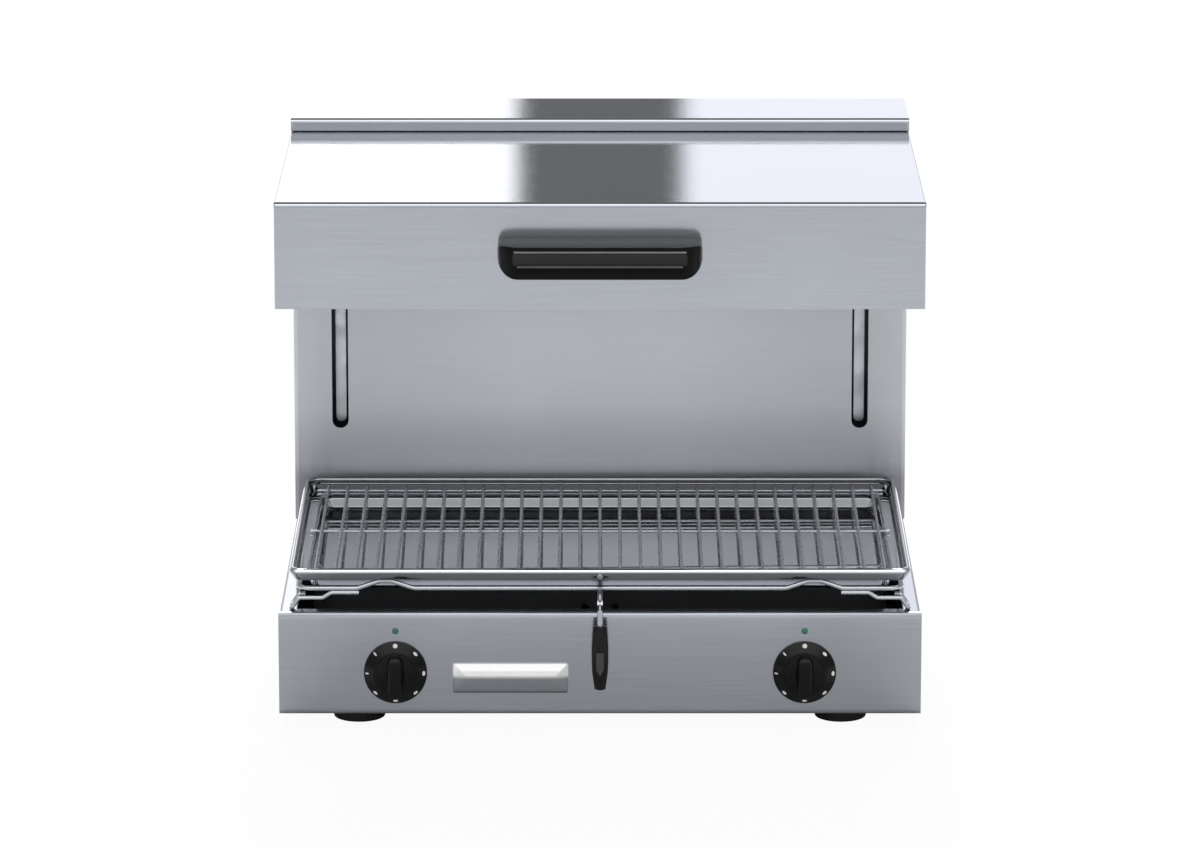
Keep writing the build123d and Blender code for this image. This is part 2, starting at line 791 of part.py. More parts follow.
# Knobs, shafts and energy regulators
collar_front = front_y + sheet
regulator_front = collar_front + collar_length
for side, sign in sides:
    axis_x = sign * knob_x
    knob_back = front_y - knob_standoff
    with BuildPart() as knob:
        with BuildSketch(Plane.YZ.offset(axis_x)):
            with BuildLine():
                Polyline(
                    (knob_back, knob_z),
                    (knob_back, knob_z + skirt_radius),
                    (knob_back - skirt_edge, knob_z + skirt_radius),
                    (knob_back - skirt_depth, knob_z + hub_radius),
                    (knob_back - hub_depth, knob_z + hub_radius),
                    (knob_back - hub_depth, knob_z),
                    close=True,
                )
            make_face()
        revolve(axis=Axis((axis_x, 0, knob_z), (0, 1, 0)))
        with BuildSketch(upright(knob_back - hub_depth)):
            with Locations((axis_x, knob_z)):
                RectangleRounded(grip_bar_width, 2 * hub_radius, grip_bar_width / 3)
        extrude(amount=knob_depth - hub_depth - knob_standoff)
        fillet(knob.faces().sort_by(Axis.Y)[0].edges(), knob_edge)
        with BuildSketch(upright(knob_back)):
            with Locations((axis_x, knob_z)):
                Circle(shaft_radius + fit_gap)
        extrude(amount=shaft_seat, mode=Mode.SUBTRACT)
    save(knob, f"{side}_knob")

    with BuildPart() as knob_shaft:
        with BuildSketch(upright(knob_back - shaft_seat)):
            with Locations((axis_x, knob_z)):
                Circle(shaft_radius)
        extrude(amount=-(shaft_seat + knob_standoff + sheet + collar_length + regulator_depth / 2))
    save(knob_shaft, f"{side}_knob_shaft")

    with BuildPart() as regulator:
        with BuildSketch(upright(regulator_front)):
            with Locations((axis_x, knob_z)):
                RectangleRounded(regulator_width, regulator_height, bend)
        extrude(amount=-regulator_depth)
        with BuildSketch(upright(collar_front)):
            with Locations((axis_x, knob_z)):
                Circle(collar_radius)
        extrude(amount=-collar_length)
        with BuildSketch(upright(collar_front)):
            with Locations((axis_x, knob_z)):
                Circle(shaft_radius + fit_gap)
        extrude(amount=-(collar_length + regulator_depth / 2 + slide_gap), mode=Mode.SUBTRACT)
    save(regulator, f"{side}_regulator")

    lamp_place = (axis_x, base_z + lamp_height)
    with BuildPart() as pilot_lamp:
        with BuildSketch(upright(front_y + sheet)):
            with Locations(lamp_place):
                Circle(lens_radius)
        extrude(amount=sheet + lens_dome)
        fillet(pilot_lamp.faces().sort_by(Axis.Y)[0].edges(), lens_dome - drill_gap)
    save(pilot_lamp, f"{side}_pilot_lamp")

with BuildPart() as lamp_holders:
    with BuildSketch(upright(front_y + sheet)):
        with Locations((-knob_x, base_z + lamp_height), (knob_x, base_z + lamp_height)):
            Circle(holder_radius)
    extrude(amount=-holder_length)
save(lamp_holders, "lamp_holders")

with BuildPart() as badge_plate:
    with BuildSketch(upright(front_y)):
        with Locations((badge_centre, base_z + badge_level)):
            RectangleRounded(badge_width, badge_height, badge_corner)
    extrude(amount=badge_depth)
    chamfer(badge_plate.faces().sort_by(Axis.Y)[0].edges(), badge_bevel)
save(badge_plate, "badge_plate")

# Supply entry and wiring
with BuildPart() as cable_gland:
    with BuildSketch(upright(rear_y)):
        with Locations((gland_x, gland_z)):
            RegularPolygon(gland_radius, 6)
    extrude(amount=-gland_flange)
    with BuildSketch(upright(rear_y + gland_flange)):
        with Locations((gland_x, gland_z)):
            Circle(gland_nut_radius)
    extrude(amount=-(gland_reach - gland_flange))
    fillet(cable_gland.faces().sort_by(Axis.Y)[-1].edges(), bend)
    with BuildSketch(upright(rear_y)):
        with Locations((gland_x, gland_z)):
            Circle(gland_thread)
    extrude(amount=gland_thread_length)
    with BuildSketch(upright(rear_y + gland_reach)):
        with Locations((gland_x, gland_z)):
            Circle(gland_bore)
    extrude(amount=2 * gland_reach, mode=Mode.SUBTRACT)
save(cable_gland, "cable_gland")

with BuildPart() as gland_locknut:
    with BuildSketch(upright(rear_y - sheet)):
        with Locations((gland_x, gland_z)):
            RegularPolygon(gland_radius, 6)
            Circle(gland_thread + drill_gap, mode=Mode.SUBTRACT)
    extrude(amount=locknut_height)
save(gland_locknut, "gland_locknut")

block_front = column_y + block_setback
with BuildPart() as terminal_block:
    with Locations((0, block_front, floor_top)):
        Box(block_width, block_depth, block_height, align=(Align.CENTER, Align.MIN, Align.MIN))
    with Locations((0, block_front + block_depth / 2, floor_top + block_height)):
        with GridLocations(block_pitch, 1, block_ways, 1):
            Cylinder(block_hole_radius, 2 * block_hole_depth, mode=Mode.SUBTRACT)
save(terminal_block, "terminal_block")

regulator_rear = regulator_front + regulator_depth
wire_y = regulator_rear + wire_turn
terminal_z = knob_z - regulator_height / 4
with BuildPart() as supply_wires:
    for sign in (-1, 1):
        with BuildLine() as wire_route:
            FilletPolyline(
                (sign * wire_spacing / 2, block_front, wire_z),
                (sign * wire_spacing / 2, wire_y, wire_z),
                (sign * knob_x, wire_y, wire_z),
                (sign * knob_x, wire_y, terminal_z),
                (sign * knob_x, regulator_rear, terminal_z),
                radius=wire_bend,
            )
        with BuildSketch(Plane(wire_route.line @ 0, z_dir=wire_route.line % 0)):
            Circle(wire_radius)
        sweep(path=wire_route.line)
save(supply_wires, "supply_wires")

# Drip tray
body_width = rim_width - 2 * ledge_width
body_run = rim_depth - 2 * ledge_width
lip_width = rim_width - 2 * rim_overhang
lip_run = rim_depth - 2 * rim_overhang
with BuildPart() as drip_tray:
    with BuildSketch(Plane.XY.offset(ledge_z)):
        with Locations((0, tray_y)):
            RectangleRounded(lip_width, lip_run, tray_corner)
    extrude(amount=lip_height - rim_bead)
    with BuildSketch(Plane.XY.offset(ledge_z)):
        with Locations((0, tray_y)):
            RectangleRounded(body_width, body_run, tray_corner + tray_fold)
    extrude(amount=-(tray_depth - lip_height), taper=tray_taper)
    fillet(drip_tray.edges().group_by(Axis.Z)[0], tray_fold)
    offset(amount=-tray_sheet, openings=drip_tray.faces().sort_by(Axis.Z)[-1])
    rim_x = rim_width / 2 - rim_bead
    rim_y = rim_depth / 2 - rim_bead
    with BuildLine(Plane.XY.offset(rim_z - rim_bead)) as rim_route:
        FilletPolyline(
            (-rim_x, tray_y - rim_y),
            (rim_x, tray_y - rim_y),
            (rim_x, tray_y + rim_y),
            (-rim_x, tray_y + rim_y),
            radius=tray_corner,
            close=True,
        )
    with BuildSketch(Plane(rim_route.line @ 0, z_dir=rim_route.line % 0)):
        Circle(rim_bead)
    sweep(path=rim_route.line)
save(drip_tray, "drip_tray")

with BuildPart() as tray_rivet:
    with BuildSketch(upright(front_y + rim_overhang)):
        with Locations((0, rim_z - rivet_drop)):
            Circle(rivet_radius)
    extrude(amount=rivet_height)
    fillet(tray_rivet.faces().sort_by(Axis.Y)[0].edges(), rivet_height / 3)
save(tray_rivet, "tray_rivet")

# Wire grid, lying on the tray's ledge
cross_z = ledge_z + tray_sheet + slide_gap + bar_radius
bar_z = cross_z + 2 * bar_radius
bar_pitch = (rim_width - 2 * bar_margin) / (bar_count - 1)
bar_length = rim_depth - 2 * bar_end_gap
cross_length = rim_width - 2 * cross_end_gap
cross_spacing = (rim_depth - 2 * cross_inset) / (cross_count - 1)
with BuildPart() as grid_bars:
    with BuildSketch(upright(tray_y - bar_length / 2)):
        with Locations((0, bar_z)):
            with GridLocations(bar_pitch, 1, bar_count, 1):
                Circle(bar_radius)
    extrude(amount=-bar_length)
save(grid_bars, "grid_bars")

with BuildPart() as grid_cross_wires:
    with BuildSketch(Plane.YZ.offset(-cross_length / 2)):
        with Locations((tray_y, cross_z)):
            with GridLocations(cross_spacing, 1, cross_count, 1):
                Circle(bar_radius)
    extrude(amount=cross_length)
save(grid_cross_wires, "grid_cross_wires")

# Wire carrier: a loop with raised bumps under the tray's ledge, standing on four wire legs
leg_z_top = loop_z - loop_radius - leg_radius
leg_z_low = leg_z_top - leg_step
leg_z_foot = deck_z + slide_gap + leg_radius
with BuildPart() as carrier_frame:
    for end in (-1, 1):
        run_y = tray_y + end * (rim_depth / 2 - loop_inset)
        bump_points = []
        for bump_x in (bump_inset - loop_x, loop_x - bump_inset):
            bump_points += [
                (bump_x - bump_length / 2, run_y, loop_z),
                (bump_x - bump_top / 2, run_y, loop_z + bump_height),
                (bump_x + bump_top / 2, run_y, loop_z + bump_height),
                (bump_x + bump_length / 2, run_y, loop_z),
            ]
        with BuildLine() as loop_route:
            FilletPolyline(
                (-loop_x, tray_y, loop_z),
                (-loop_x, run_y, loop_z),
                *bump_points,
                (loop_x, run_y, loop_z),
                (loop_x, tray_y, loop_z),
                radius=loop_corner,
            )
        with BuildSketch(Plane(loop_route.line @ 0, z_dir=loop_route.line % 0)):
            Circle(loop_radius)
        sweep(path=loop_route.line)
save(carrier_frame, "carrier_frame")

with BuildPart() as carrier_legs:
    for sign in (-1, 1):
        for end in (-1, 1):
            run_y = tray_y + end * (rim_depth / 2 - loop_inset)
            back_y = run_y - end * leg_back
            with BuildLine() as leg_route:
                FilletPolyline(
                    (sign * (leg_jog - leg_weld), run_y, leg_z_top),
                    (sign * leg_jog, run_y, leg_z_top),
                    (sign * (leg_jog + leg_slope), run_y, leg_z_low),
                    (sign * leg_elbow, run_y, leg_z_low),
                    (sign * leg_foot, run_y, leg_z_foot),
                    (sign * leg_foot, back_y, leg_z_foot),
                    (sign * leg_elbow, back_y, leg_z_low),
                    (sign * (leg_elbow - leg_tail), back_y, leg_z_low),
                    radius=leg_bend,
                )
            with BuildSketch(Plane(leg_route.line @ 0, z_dir=leg_route.line % 0)):
                Circle(leg_radius)
            sweep(path=leg_route.line)
save(carrier_legs, "carrier_legs")

# Swinging grip on the carrier's front
lug_rear = loop_y - loop_radius
with BuildPart() as carrier_lug:
    for sign in (-1, 1):
        with BuildSketch(Plane.YZ.offset(sign * (clevis_gap + clevis_wall) / 2)):
            with BuildLine():
                Polyline(
                    (lug_rear, loop_z + loop_radius),
                    (lug_rear, loop_z - loop_radius),
                    (hinge_y, hinge_z - clevis_height / 2),
                    (hinge_y - clevis_height / 2, hinge_z),
                    (hinge_y, hinge_z + clevis_height / 2),
                    close=True,
                )
            make_face()
            with Locations((hinge_y, hinge_z)):
                Circle(hinge_radius, mode=Mode.SUBTRACT)
        extrude(amount=clevis_wall / 2, both=True)
    with Locations((0, lug_rear, loop_z)):
        Box(
            clevis_gap + 2 * clevis_wall,
            clevis_height / 2,
            2 * loop_radius,
            align=(Align.CENTER, Align.MAX, Align.CENTER),
        )
save(carrier_lug, "carrier_lug")

with BuildPart() as grip_pin:
    with BuildSketch(Plane.YZ.offset(-(clevis_gap / 2 + clevis_wall))):
        with Locations((hinge_y, hinge_z)):
            Circle(hinge_radius)
    extrude(amount=clevis_gap + 2 * clevis_wall)
save(grip_pin, "grip_pin")

grip_top = hinge_z - neck_length
grip_end = grip_top - grip_length
with BuildPart() as grip_neck:
    with BuildSketch(Plane.YZ.offset(-clevis_gap / 2 + slide_gap)):
        with Locations((hinge_y, hinge_z)):
            Circle(eye_radius)
    extrude(amount=clevis_gap - 2 * slide_gap)
    with BuildSketch(Plane.XY.offset(grip_top - neck_seat)):
        with Locations((0, hinge_y)):
            Circle(neck_radius)
    extrude(amount=neck_seat + neck_length - clevis_height)
    with BuildSketch(Plane.YZ):
        with Locations((hinge_y, hinge_z - clevis_height / 2)):
            Rectangle(eye_width, clevis_height)
    extrude(amount=clevis_gap / 2 - slide_gap, both=True)
    with BuildSketch(Plane.YZ):
        with Locations((hinge_y, hinge_z)):
            Circle(hinge_radius + fit_gap)
    extrude(amount=clevis_gap, both=True, mode=Mode.SUBTRACT)
save(grip_neck, "grip_neck")

with BuildPart() as carrier_grip:
    grip_levels = (
        (grip_top, grip_top_width),
        ((grip_top + grip_end) / 2, grip_mid_width),
        (grip_end, grip_end_width),
    )
    for level, grip_width in grip_levels:
        with BuildSketch(Plane.XY.offset(level)):
            with Locations((0, hinge_y)):
                RectangleRounded(grip_width, grip_width * grip_ratio, grip_corner)
    loft()
    fillet(carrier_grip.edges().group_by(Axis.Z)[0], grip_edge)
    with BuildSketch(Plane.XY.offset(grip_top)):
        with Locations((0, hinge_y)):
            Circle(neck_radius + fit_gap)
    extrude(amount=-neck_seat, mode=Mode.SUBTRACT)
save(carrier_grip, "carrier_grip")
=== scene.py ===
import json
import math

import bpy
from mathutils import Matrix, Vector


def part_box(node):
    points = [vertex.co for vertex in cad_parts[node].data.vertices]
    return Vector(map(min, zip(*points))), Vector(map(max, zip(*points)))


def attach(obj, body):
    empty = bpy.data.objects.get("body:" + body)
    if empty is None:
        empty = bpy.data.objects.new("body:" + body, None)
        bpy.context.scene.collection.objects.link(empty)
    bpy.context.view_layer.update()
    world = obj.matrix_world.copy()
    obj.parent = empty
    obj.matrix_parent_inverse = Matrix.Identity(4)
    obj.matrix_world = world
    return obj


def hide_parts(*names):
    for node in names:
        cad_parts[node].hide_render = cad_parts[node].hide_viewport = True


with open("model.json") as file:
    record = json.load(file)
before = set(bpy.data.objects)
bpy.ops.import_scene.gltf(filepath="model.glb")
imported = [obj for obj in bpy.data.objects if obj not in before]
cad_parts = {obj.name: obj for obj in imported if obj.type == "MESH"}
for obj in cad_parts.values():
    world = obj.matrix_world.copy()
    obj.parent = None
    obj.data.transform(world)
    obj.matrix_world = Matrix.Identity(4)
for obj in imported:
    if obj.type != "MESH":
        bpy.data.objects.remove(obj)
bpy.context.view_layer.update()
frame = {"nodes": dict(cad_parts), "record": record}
nodes = frame["nodes"]
mm = 0.001
close = 0.01 * mm  # two places nearer than this count as one
print("frame loaded:", len(nodes), "nodes")


def linear(hexColour, alpha=1.0):  # sRGB hex to the linear values that sockets take
    channels = [int(hexColour[i:i + 2], 16) / 255 for i in (1, 3, 5)]
    return [c / 12.92 if c <= 0.04045 else ((c + 0.055) / 1.055) ** 2.4 for c in channels] + [alpha]


def addNode(tree, kind, settings=None, links=None):
    node = tree.nodes.new(kind)
    for name, value in (settings or {}).items():
        if name in node.inputs.keys() or isinstance(name, int):
            node.inputs[name].default_value = value
        else:
            setattr(node, name, value)
    for name, source in (links or {}).items():
        tree.links.new(source, node.inputs[name])
    return node


def newMaterial(name, **shader):
    material = bpy.data.materials.new(name)
    material.use_nodes = True
    tree = material.node_tree
    principled = tree.nodes["Principled BSDF"]
    for socket, value in shader.items():
        principled.inputs[socket.replace("_", " ")].default_value = value
    return material, tree, principled


# Camera, fitted to the casing's edges in the photo
camera = {
    "place": (0, -6.1214, 1.6981),
    "pitch": 13.35,  # degrees down
    "lens": 196.62,
    "sensor": 36,
    "clipEnd": 100,
}
cameraData = bpy.data.cameras.new("camera")
cameraData.lens = camera["lens"]
cameraData.sensor_width = camera["sensor"]
cameraData.clip_end = camera["clipEnd"]
cameraObject = bpy.data.objects.new("camera", cameraData)
cameraObject.location = camera["place"]
cameraObject.rotation_euler = (math.radians(90 - camera["pitch"]), 0, 0)
bpy.context.scene.collection.objects.link(cameraObject)
bpy.context.scene.camera = cameraObject
bpy.context.scene.view_settings.view_transform = "Standard"
print("camera set")

# Studio: a pale floor, a white room with one dark gap far behind, one soft box high behind
studio = {
    "floor": "#f2f2f2",
    "floorSize": 60,
    "shadowShare": 0.05,  # how much of the floor's own shading the camera sees
    "roomLight": 0.66,  # even light from all round
    "overhead": 2.2,  # the white ceiling
    "ceiling": (0.84, 0.94),  # sines of height where it starts and is full
    "frontLow": 0.6,  # what bright metal mirrors in front, just above the floor
    "climb": (0.3, 0.85),  # sines of height over which the front wall brightens from that
    "frontCard": (0.235, 0.05, 0.11, 0.6),  # a low card in front: sine of its height, half height, fade and light
    "turn": (-0.3, 0.3),  # from front to back, where the front wall passes into the rear one
    "backLeft": (1.72, 1.72, 1.72),  # white card behind, left of the gap
    "backRight": (1.34, 1.34, 1.43),  # and right of it, a little bluer
    "cardEnds": (0.08, 0.18, 0.42),  # sines where the cards start and stop fading, and what is left of them
    "cardTop": (0.42, 0.5),  # sines of height where the cards end
    "backDark": 0.35,  # a dim band between the cards behind and the ceiling
    "gapLight": 0.14,
    "gapHalf": 0.0127,  # half width of the gap, as the sine of its angle
    "gapEdge": 0.0010,
    "gapBack": 0.5,  # the gap is only this far towards the back
    "aside": (0.6, 0.92),  # sines to the side over which the room dims
    "sideShare": 0.45,  # how much of its light is left there
}
world = bpy.data.worlds.new("studioRoom")
bpy.context.scene.world = world
world.use_nodes = True
tree = world.node_tree
tree.nodes.clear()
way = addNode(tree, "ShaderNodeTexCoord")
axes = addNode(tree, "ShaderNodeSeparateXYZ", links={0: way.outputs["Generated"]})
sideways = addNode(tree, "ShaderNodeMath", {"operation": "ABSOLUTE"}, {0: axes.outputs["X"]})
gapSide = addNode(tree, "ShaderNodeMapRange", {
    "interpolation_type": "SMOOTHSTEP",
    "From Min": studio["gapHalf"] - studio["gapEdge"],
    "From Max": studio["gapHalf"] + studio["gapEdge"],
}, {"Value": sideways.outputs[0]})
beforeGap = addNode(tree, "ShaderNodeMath", {"operation": "LESS_THAN", 1: studio["gapBack"]}, {0: axes.outputs["Y"]})
openCard = addNode(tree, "ShaderNodeMath", {"operation": "MAXIMUM"},
                   {0: gapSide.outputs[0], 1: beforeGap.outputs[0]})
rightHand = addNode(tree, "ShaderNodeMath", {"operation": "GREATER_THAN", 1: 0.0}, {0: axes.outputs["X"]})
cards = addNode(tree, "ShaderNodeMix", {"data_type": "RGBA", 6: (*studio["backLeft"], 1),
                                        7: (*studio["backRight"], 1)}, {0: rightHand.outputs[0]})
fadeStart, fadeStop, fadeLeft = studio["cardEnds"]
fading = addNode(tree, "ShaderNodeMapRange", {"From Min": fadeStart, "From Max": fadeStop, "To Min": 1.0,
                                              "To Max": fadeLeft}, {"Value": sideways.outputs[0]})
fadedCards = addNode(tree, "ShaderNodeVectorMath", {"operation": "SCALE"},
                     {0: cards.outputs[2], "Scale": fading.outputs[0]})
front = addNode(tree, "ShaderNodeMapRange", {"From Min": studio["turn"][0], "From Max": studio["turn"][1]},
                {"Value": axes.outputs["Y"]})
climb = addNode(tree, "ShaderNodeMapRange", {"From Min": studio["climb"][0], "From Max": studio["climb"][1],
                                             "To Min": studio["frontLow"], "To Max": studio["overhead"]},
                {"Value": axes.outputs["Z"]})
cardHeight, cardHalf, cardFade, cardLight = studio["frontCard"]
offCard = addNode(tree, "ShaderNodeMath", {"operation": "SUBTRACT", 1: cardHeight}, {0: axes.outputs["Z"]})
fromCard = addNode(tree, "ShaderNodeMath", {"operation": "ABSOLUTE"}, {0: offCard.outputs[0]})
lowCard = addNode(tree, "ShaderNodeMapRange", {"From Min": cardHalf, "From Max": cardFade, "To Min": cardLight,
                                               "To Max": 0.0}, {"Value": fromCard.outputs[0]})
frontWall = addNode(tree, "ShaderNodeMath", {"operation": "ADD"}, {0: climb.outputs[0], 1: lowCard.outputs[0]})
aboveCards = addNode(tree, "ShaderNodeMapRange", {"From Min": studio["cardTop"][0], "From Max": studio["cardTop"][1]},
                     {"Value": axes.outputs["Z"]})
rearWall = addNode(tree, "ShaderNodeMix", {"data_type": "RGBA", 7: (studio["backDark"],) * 3 + (1,)},
                   {0: aboveCards.outputs[0], 6: fadedCards.outputs[0]})
walls = addNode(tree, "ShaderNodeMix", {"data_type": "RGBA"},
                {0: front.outputs[0], 6: frontWall.outputs[0], 7: rearWall.outputs[2]})
ceiling = addNode(tree, "ShaderNodeMapRange", {"From Min": studio["ceiling"][0], "From Max": studio["ceiling"][1]},
                  {"Value": axes.outputs["Z"]})
room = addNode(tree, "ShaderNodeMix", {"data_type": "RGBA", 7: (studio["overhead"],) * 3 + (1,)},
               {0: ceiling.outputs[0], 6: walls.outputs[2]})
gapped = addNode(tree, "ShaderNodeMix", {"data_type": "RGBA", 6: (studio["gapLight"],) * 3 + (1,)},
                 {0: openCard.outputs[0], 7: room.outputs[2]})
aside = addNode(tree, "ShaderNodeMapRange", {"From Min": studio["aside"][0], "From Max": studio["aside"][1],
                                             "To Min": 1.0, "To Max": studio["sideShare"]},
                {"Value": sideways.outputs[0]})
walled = addNode(tree, "ShaderNodeVectorMath", {"operation": "SCALE"},
                 {0: gapped.outputs[2], "Scale": aside.outputs[0]})
ray = addNode(tree, "ShaderNodeLightPath")
shiny = addNode(tree, "ShaderNodeMath", {"operation": "MAXIMUM"},
                {0: ray.outputs["Is Glossy Ray"], 1: ray.outputs["Is Transmission Ray"]})
lit = addNode(tree, "ShaderNodeMix", {"data_type": "RGBA", 6: (studio["roomLight"],) * 3 + (1,)},
              {0: shiny.outputs[0], 7: walled.outputs[0]})
seen = addNode(tree, "ShaderNodeMix", {"data_type": "RGBA", 7: (1, 1, 1, 1)},
               {0: ray.outputs["Is Camera Ray"], 6: lit.outputs[2]})
background = addNode(tree, "ShaderNodeBackground", links={"Color": seen.outputs[2]})
addNode(tree, "ShaderNodeOutputWorld", links={"Surface": background.outputs[0]})

bpy.ops.object.select_all(action="DESELECT")
bpy.ops.mesh.primitive_plane_add(size=studio["floorSize"])
floor = bpy.context.object
floor.name = "studioFloor"
floorMaterial = bpy.data.materials.new("paleFloor")
floorMaterial.use_nodes = True
tree = floorMaterial.node_tree
tree.nodes.clear()
paper = addNode(tree, "ShaderNodeBsdfDiffuse", {"Color": linear(studio["floor"])})
white = addNode(tree, "ShaderNodeEmission", {"Color": (1, 1, 1, 1)})
ray = addNode(tree, "ShaderNodeLightPath")
share = addNode(tree, "ShaderNodeMath", {"operation": "MULTIPLY", 1: 1 - studio["shadowShare"]},
                {0: ray.outputs["Is Camera Ray"]})
mixed = addNode(tree, "ShaderNodeMixShader", links={0: share.outputs[0], 1: paper.outputs[0], 2: white.outputs[0]})
addNode(tree, "ShaderNodeOutputMaterial", links={"Surface": mixed.outputs[0]})
floor.data.materials.append(floorMaterial)

softBox = {"place": (0, 5.4, 5.9), "aim": (0, 0, 0.25), "size": 2.4, "power": 670}
lampData = bpy.data.lights.new("softBoxTop", "AREA")
lampData.energy = softBox["power"]
lampData.size = softBox["size"]
lamp = bpy.data.objects.new("softBoxTop", lampData)
lamp.location = softBox["place"]
lamp.rotation_euler = (Vector(softBox["aim"]) - lamp.location).to_track_quat("-Z", "Y").to_euler()
bpy.context.scene.collection.objects.link(lamp)
print("studio lit")


# Materials

def steelSheet(name, colour, roughness, topRoughness, grain, metallic, foot=(0.0, 0.001, 1.0)):
    # Brushed austenitic stainless sheet: grey metal with fine scratches along the panel,
    # so highlights stretch across the grain; flat tops keep the brighter rolled finish.
    material, tree, principled = newMaterial(name, Metallic=metallic, Anisotropic=0.8, Anisotropic_Rotation=0.25)
    place = addNode(tree, "ShaderNodeTexCoord")
    geometry = addNode(tree, "ShaderNodeNewGeometry")
    facing = addNode(tree, "ShaderNodeSeparateXYZ", links={0: geometry.outputs["True Normal"]})
    sideFace = addNode(tree, "ShaderNodeMath", {"operation": "ABSOLUTE"}, {0: facing.outputs["X"]})
    onSide = addNode(tree, "ShaderNodeMath", {"operation": "GREATER_THAN", 1: 0.7}, {0: sideFace.outputs[0]})
    # one scratch is about 0.1 mm wide; drawn 0.8 mm wide and 62 mm long so that it shows
    scratches = []
    along, across = 1 / (62.5 * mm), 1 / (0.8 * mm)
    for scale in ((along, across, across), (across, along, across)):
        stretch = addNode(tree, "ShaderNodeMapping", {"Scale": scale}, {"Vector": place.outputs["Object"]})
        scratches.append(addNode(tree, "ShaderNodeTexNoise", {"Scale": 1.0, "Detail": 3.0, "Roughness": 0.6},
                                 {"Vector": stretch.outputs[0]}))
    scratch = addNode(tree, "ShaderNodeMix", links={0: onSide.outputs[0], 2: scratches[0].outputs[0],
                                                    3: scratches[1].outputs[0]})
    # rolling leaves slow cloudy differences about 90 mm across; noise mostly lies between 0.3 and 0.7
    cloud = addNode(tree, "ShaderNodeTexNoise", {"Scale": 11.0, "Detail": 2.0}, {"Vector": place.outputs["Object"]})
    tone = addNode(tree, "ShaderNodeMapRange", {"From Min": 0.3, "From Max": 0.7, "To Min": 1 - grain,
                                                "To Max": 1 + grain}, {"Value": scratch.outputs[0]})
    drift = addNode(tree, "ShaderNodeMapRange", {"From Min": 0.3, "From Max": 0.7, "To Min": 0.985,
                                                 "To Max": 1.015}, {"Value": cloud.outputs[0]})
    shade = addNode(tree, "ShaderNodeMath", {"operation": "MULTIPLY"}, {0: tone.outputs[0], 1: drift.outputs[0]})
    # painted shade: a sheet can be darkened at its foot, between two heights, down to a share of its colour
    height = addNode(tree, "ShaderNodeSeparateXYZ", links={0: place.outputs["Object"]})
    footShade = addNode(tree, "ShaderNodeMapRange", {"From Min": foot[0], "From Max": foot[1], "To Min": foot[2],
                                                "To Max": 1.0}, {"Value": height.outputs["Z"]})
    footShaded = addNode(tree, "ShaderNodeMath", {"operation": "MULTIPLY"}, {0: shade.outputs[0], 1: footShade.outputs[0]})
    tint = addNode(tree, "ShaderNodeVectorMath", {"operation": "SCALE", 0: linear(colour)[:3]},
                   {"Scale": footShaded.outputs[0]})
    upward = addNode(tree, "ShaderNodeMapRange", {"From Min": 0.8, "From Max": 0.98, "To Min": roughness,
                                                  "To Max": topRoughness}, {"Value": facing.outputs["Z"]})
    worn = addNode(tree, "ShaderNodeMath", {"operation": "MULTIPLY"}, {0: upward.outputs[0], 1: shade.outputs[0]})
    alongX = addNode(tree, "ShaderNodeCombineXYZ", {"X": 1.0})
    alongY = addNode(tree, "ShaderNodeCombineXYZ", {"Y": 1.0})
    lay = addNode(tree, "ShaderNodeMix", {"data_type": "VECTOR"},
                  {0: onSide.outputs[0], 4: alongX.outputs[0], 5: alongY.outputs[0]})
    tree.links.new(tint.outputs[0], principled.inputs["Base Color"])
    tree.links.new(worn.outputs[0], principled.inputs["Roughness"])
    tree.links.new(lay.outputs[1], principled.inputs["Tangent"])
    bump = addNode(tree, "ShaderNodeBump", {"Strength": 0.06, "Distance": 0.0002}, {"Height": scratch.outputs[0]})
    tree.links.new(bump.outputs[0], principled.inputs["Normal"])
    return material


def brightMetal(name, colour, roughness, cloudSize):
    # Polished or drawn stainless: close to a mirror, with faint rub marks that break the gloss.
    material, tree, principled = newMaterial(name, Metallic=1.0)
    place = addNode(tree, "ShaderNodeTexCoord")
    rub = addNode(tree, "ShaderNodeTexNoise", {"Scale": 1 / cloudSize, "Detail": 4.0, "Roughness": 0.6},
                  {"Vector": place.outputs["Object"]})
    gloss = addNode(tree, "ShaderNodeMapRange", {"From Min": 0.3, "From Max": 0.7, "To Min": 0.7 * roughness,
                                                 "To Max": 1.4 * roughness}, {"Value": rub.outputs[0]})
    tone = addNode(tree, "ShaderNodeMapRange", {"From Min": 0.3, "From Max": 0.7, "To Min": 0.96, "To Max": 1.03},
                   {"Value": rub.outputs[0]})
    tint = addNode(tree, "ShaderNodeVectorMath", {"operation": "SCALE", 0: linear(colour)[:3]},
                   {"Scale": tone.outputs[0]})
    tree.links.new(tint.outputs[0], principled.inputs["Base Color"])
    tree.links.new(gloss.outputs[0], principled.inputs["Roughness"])
    return material


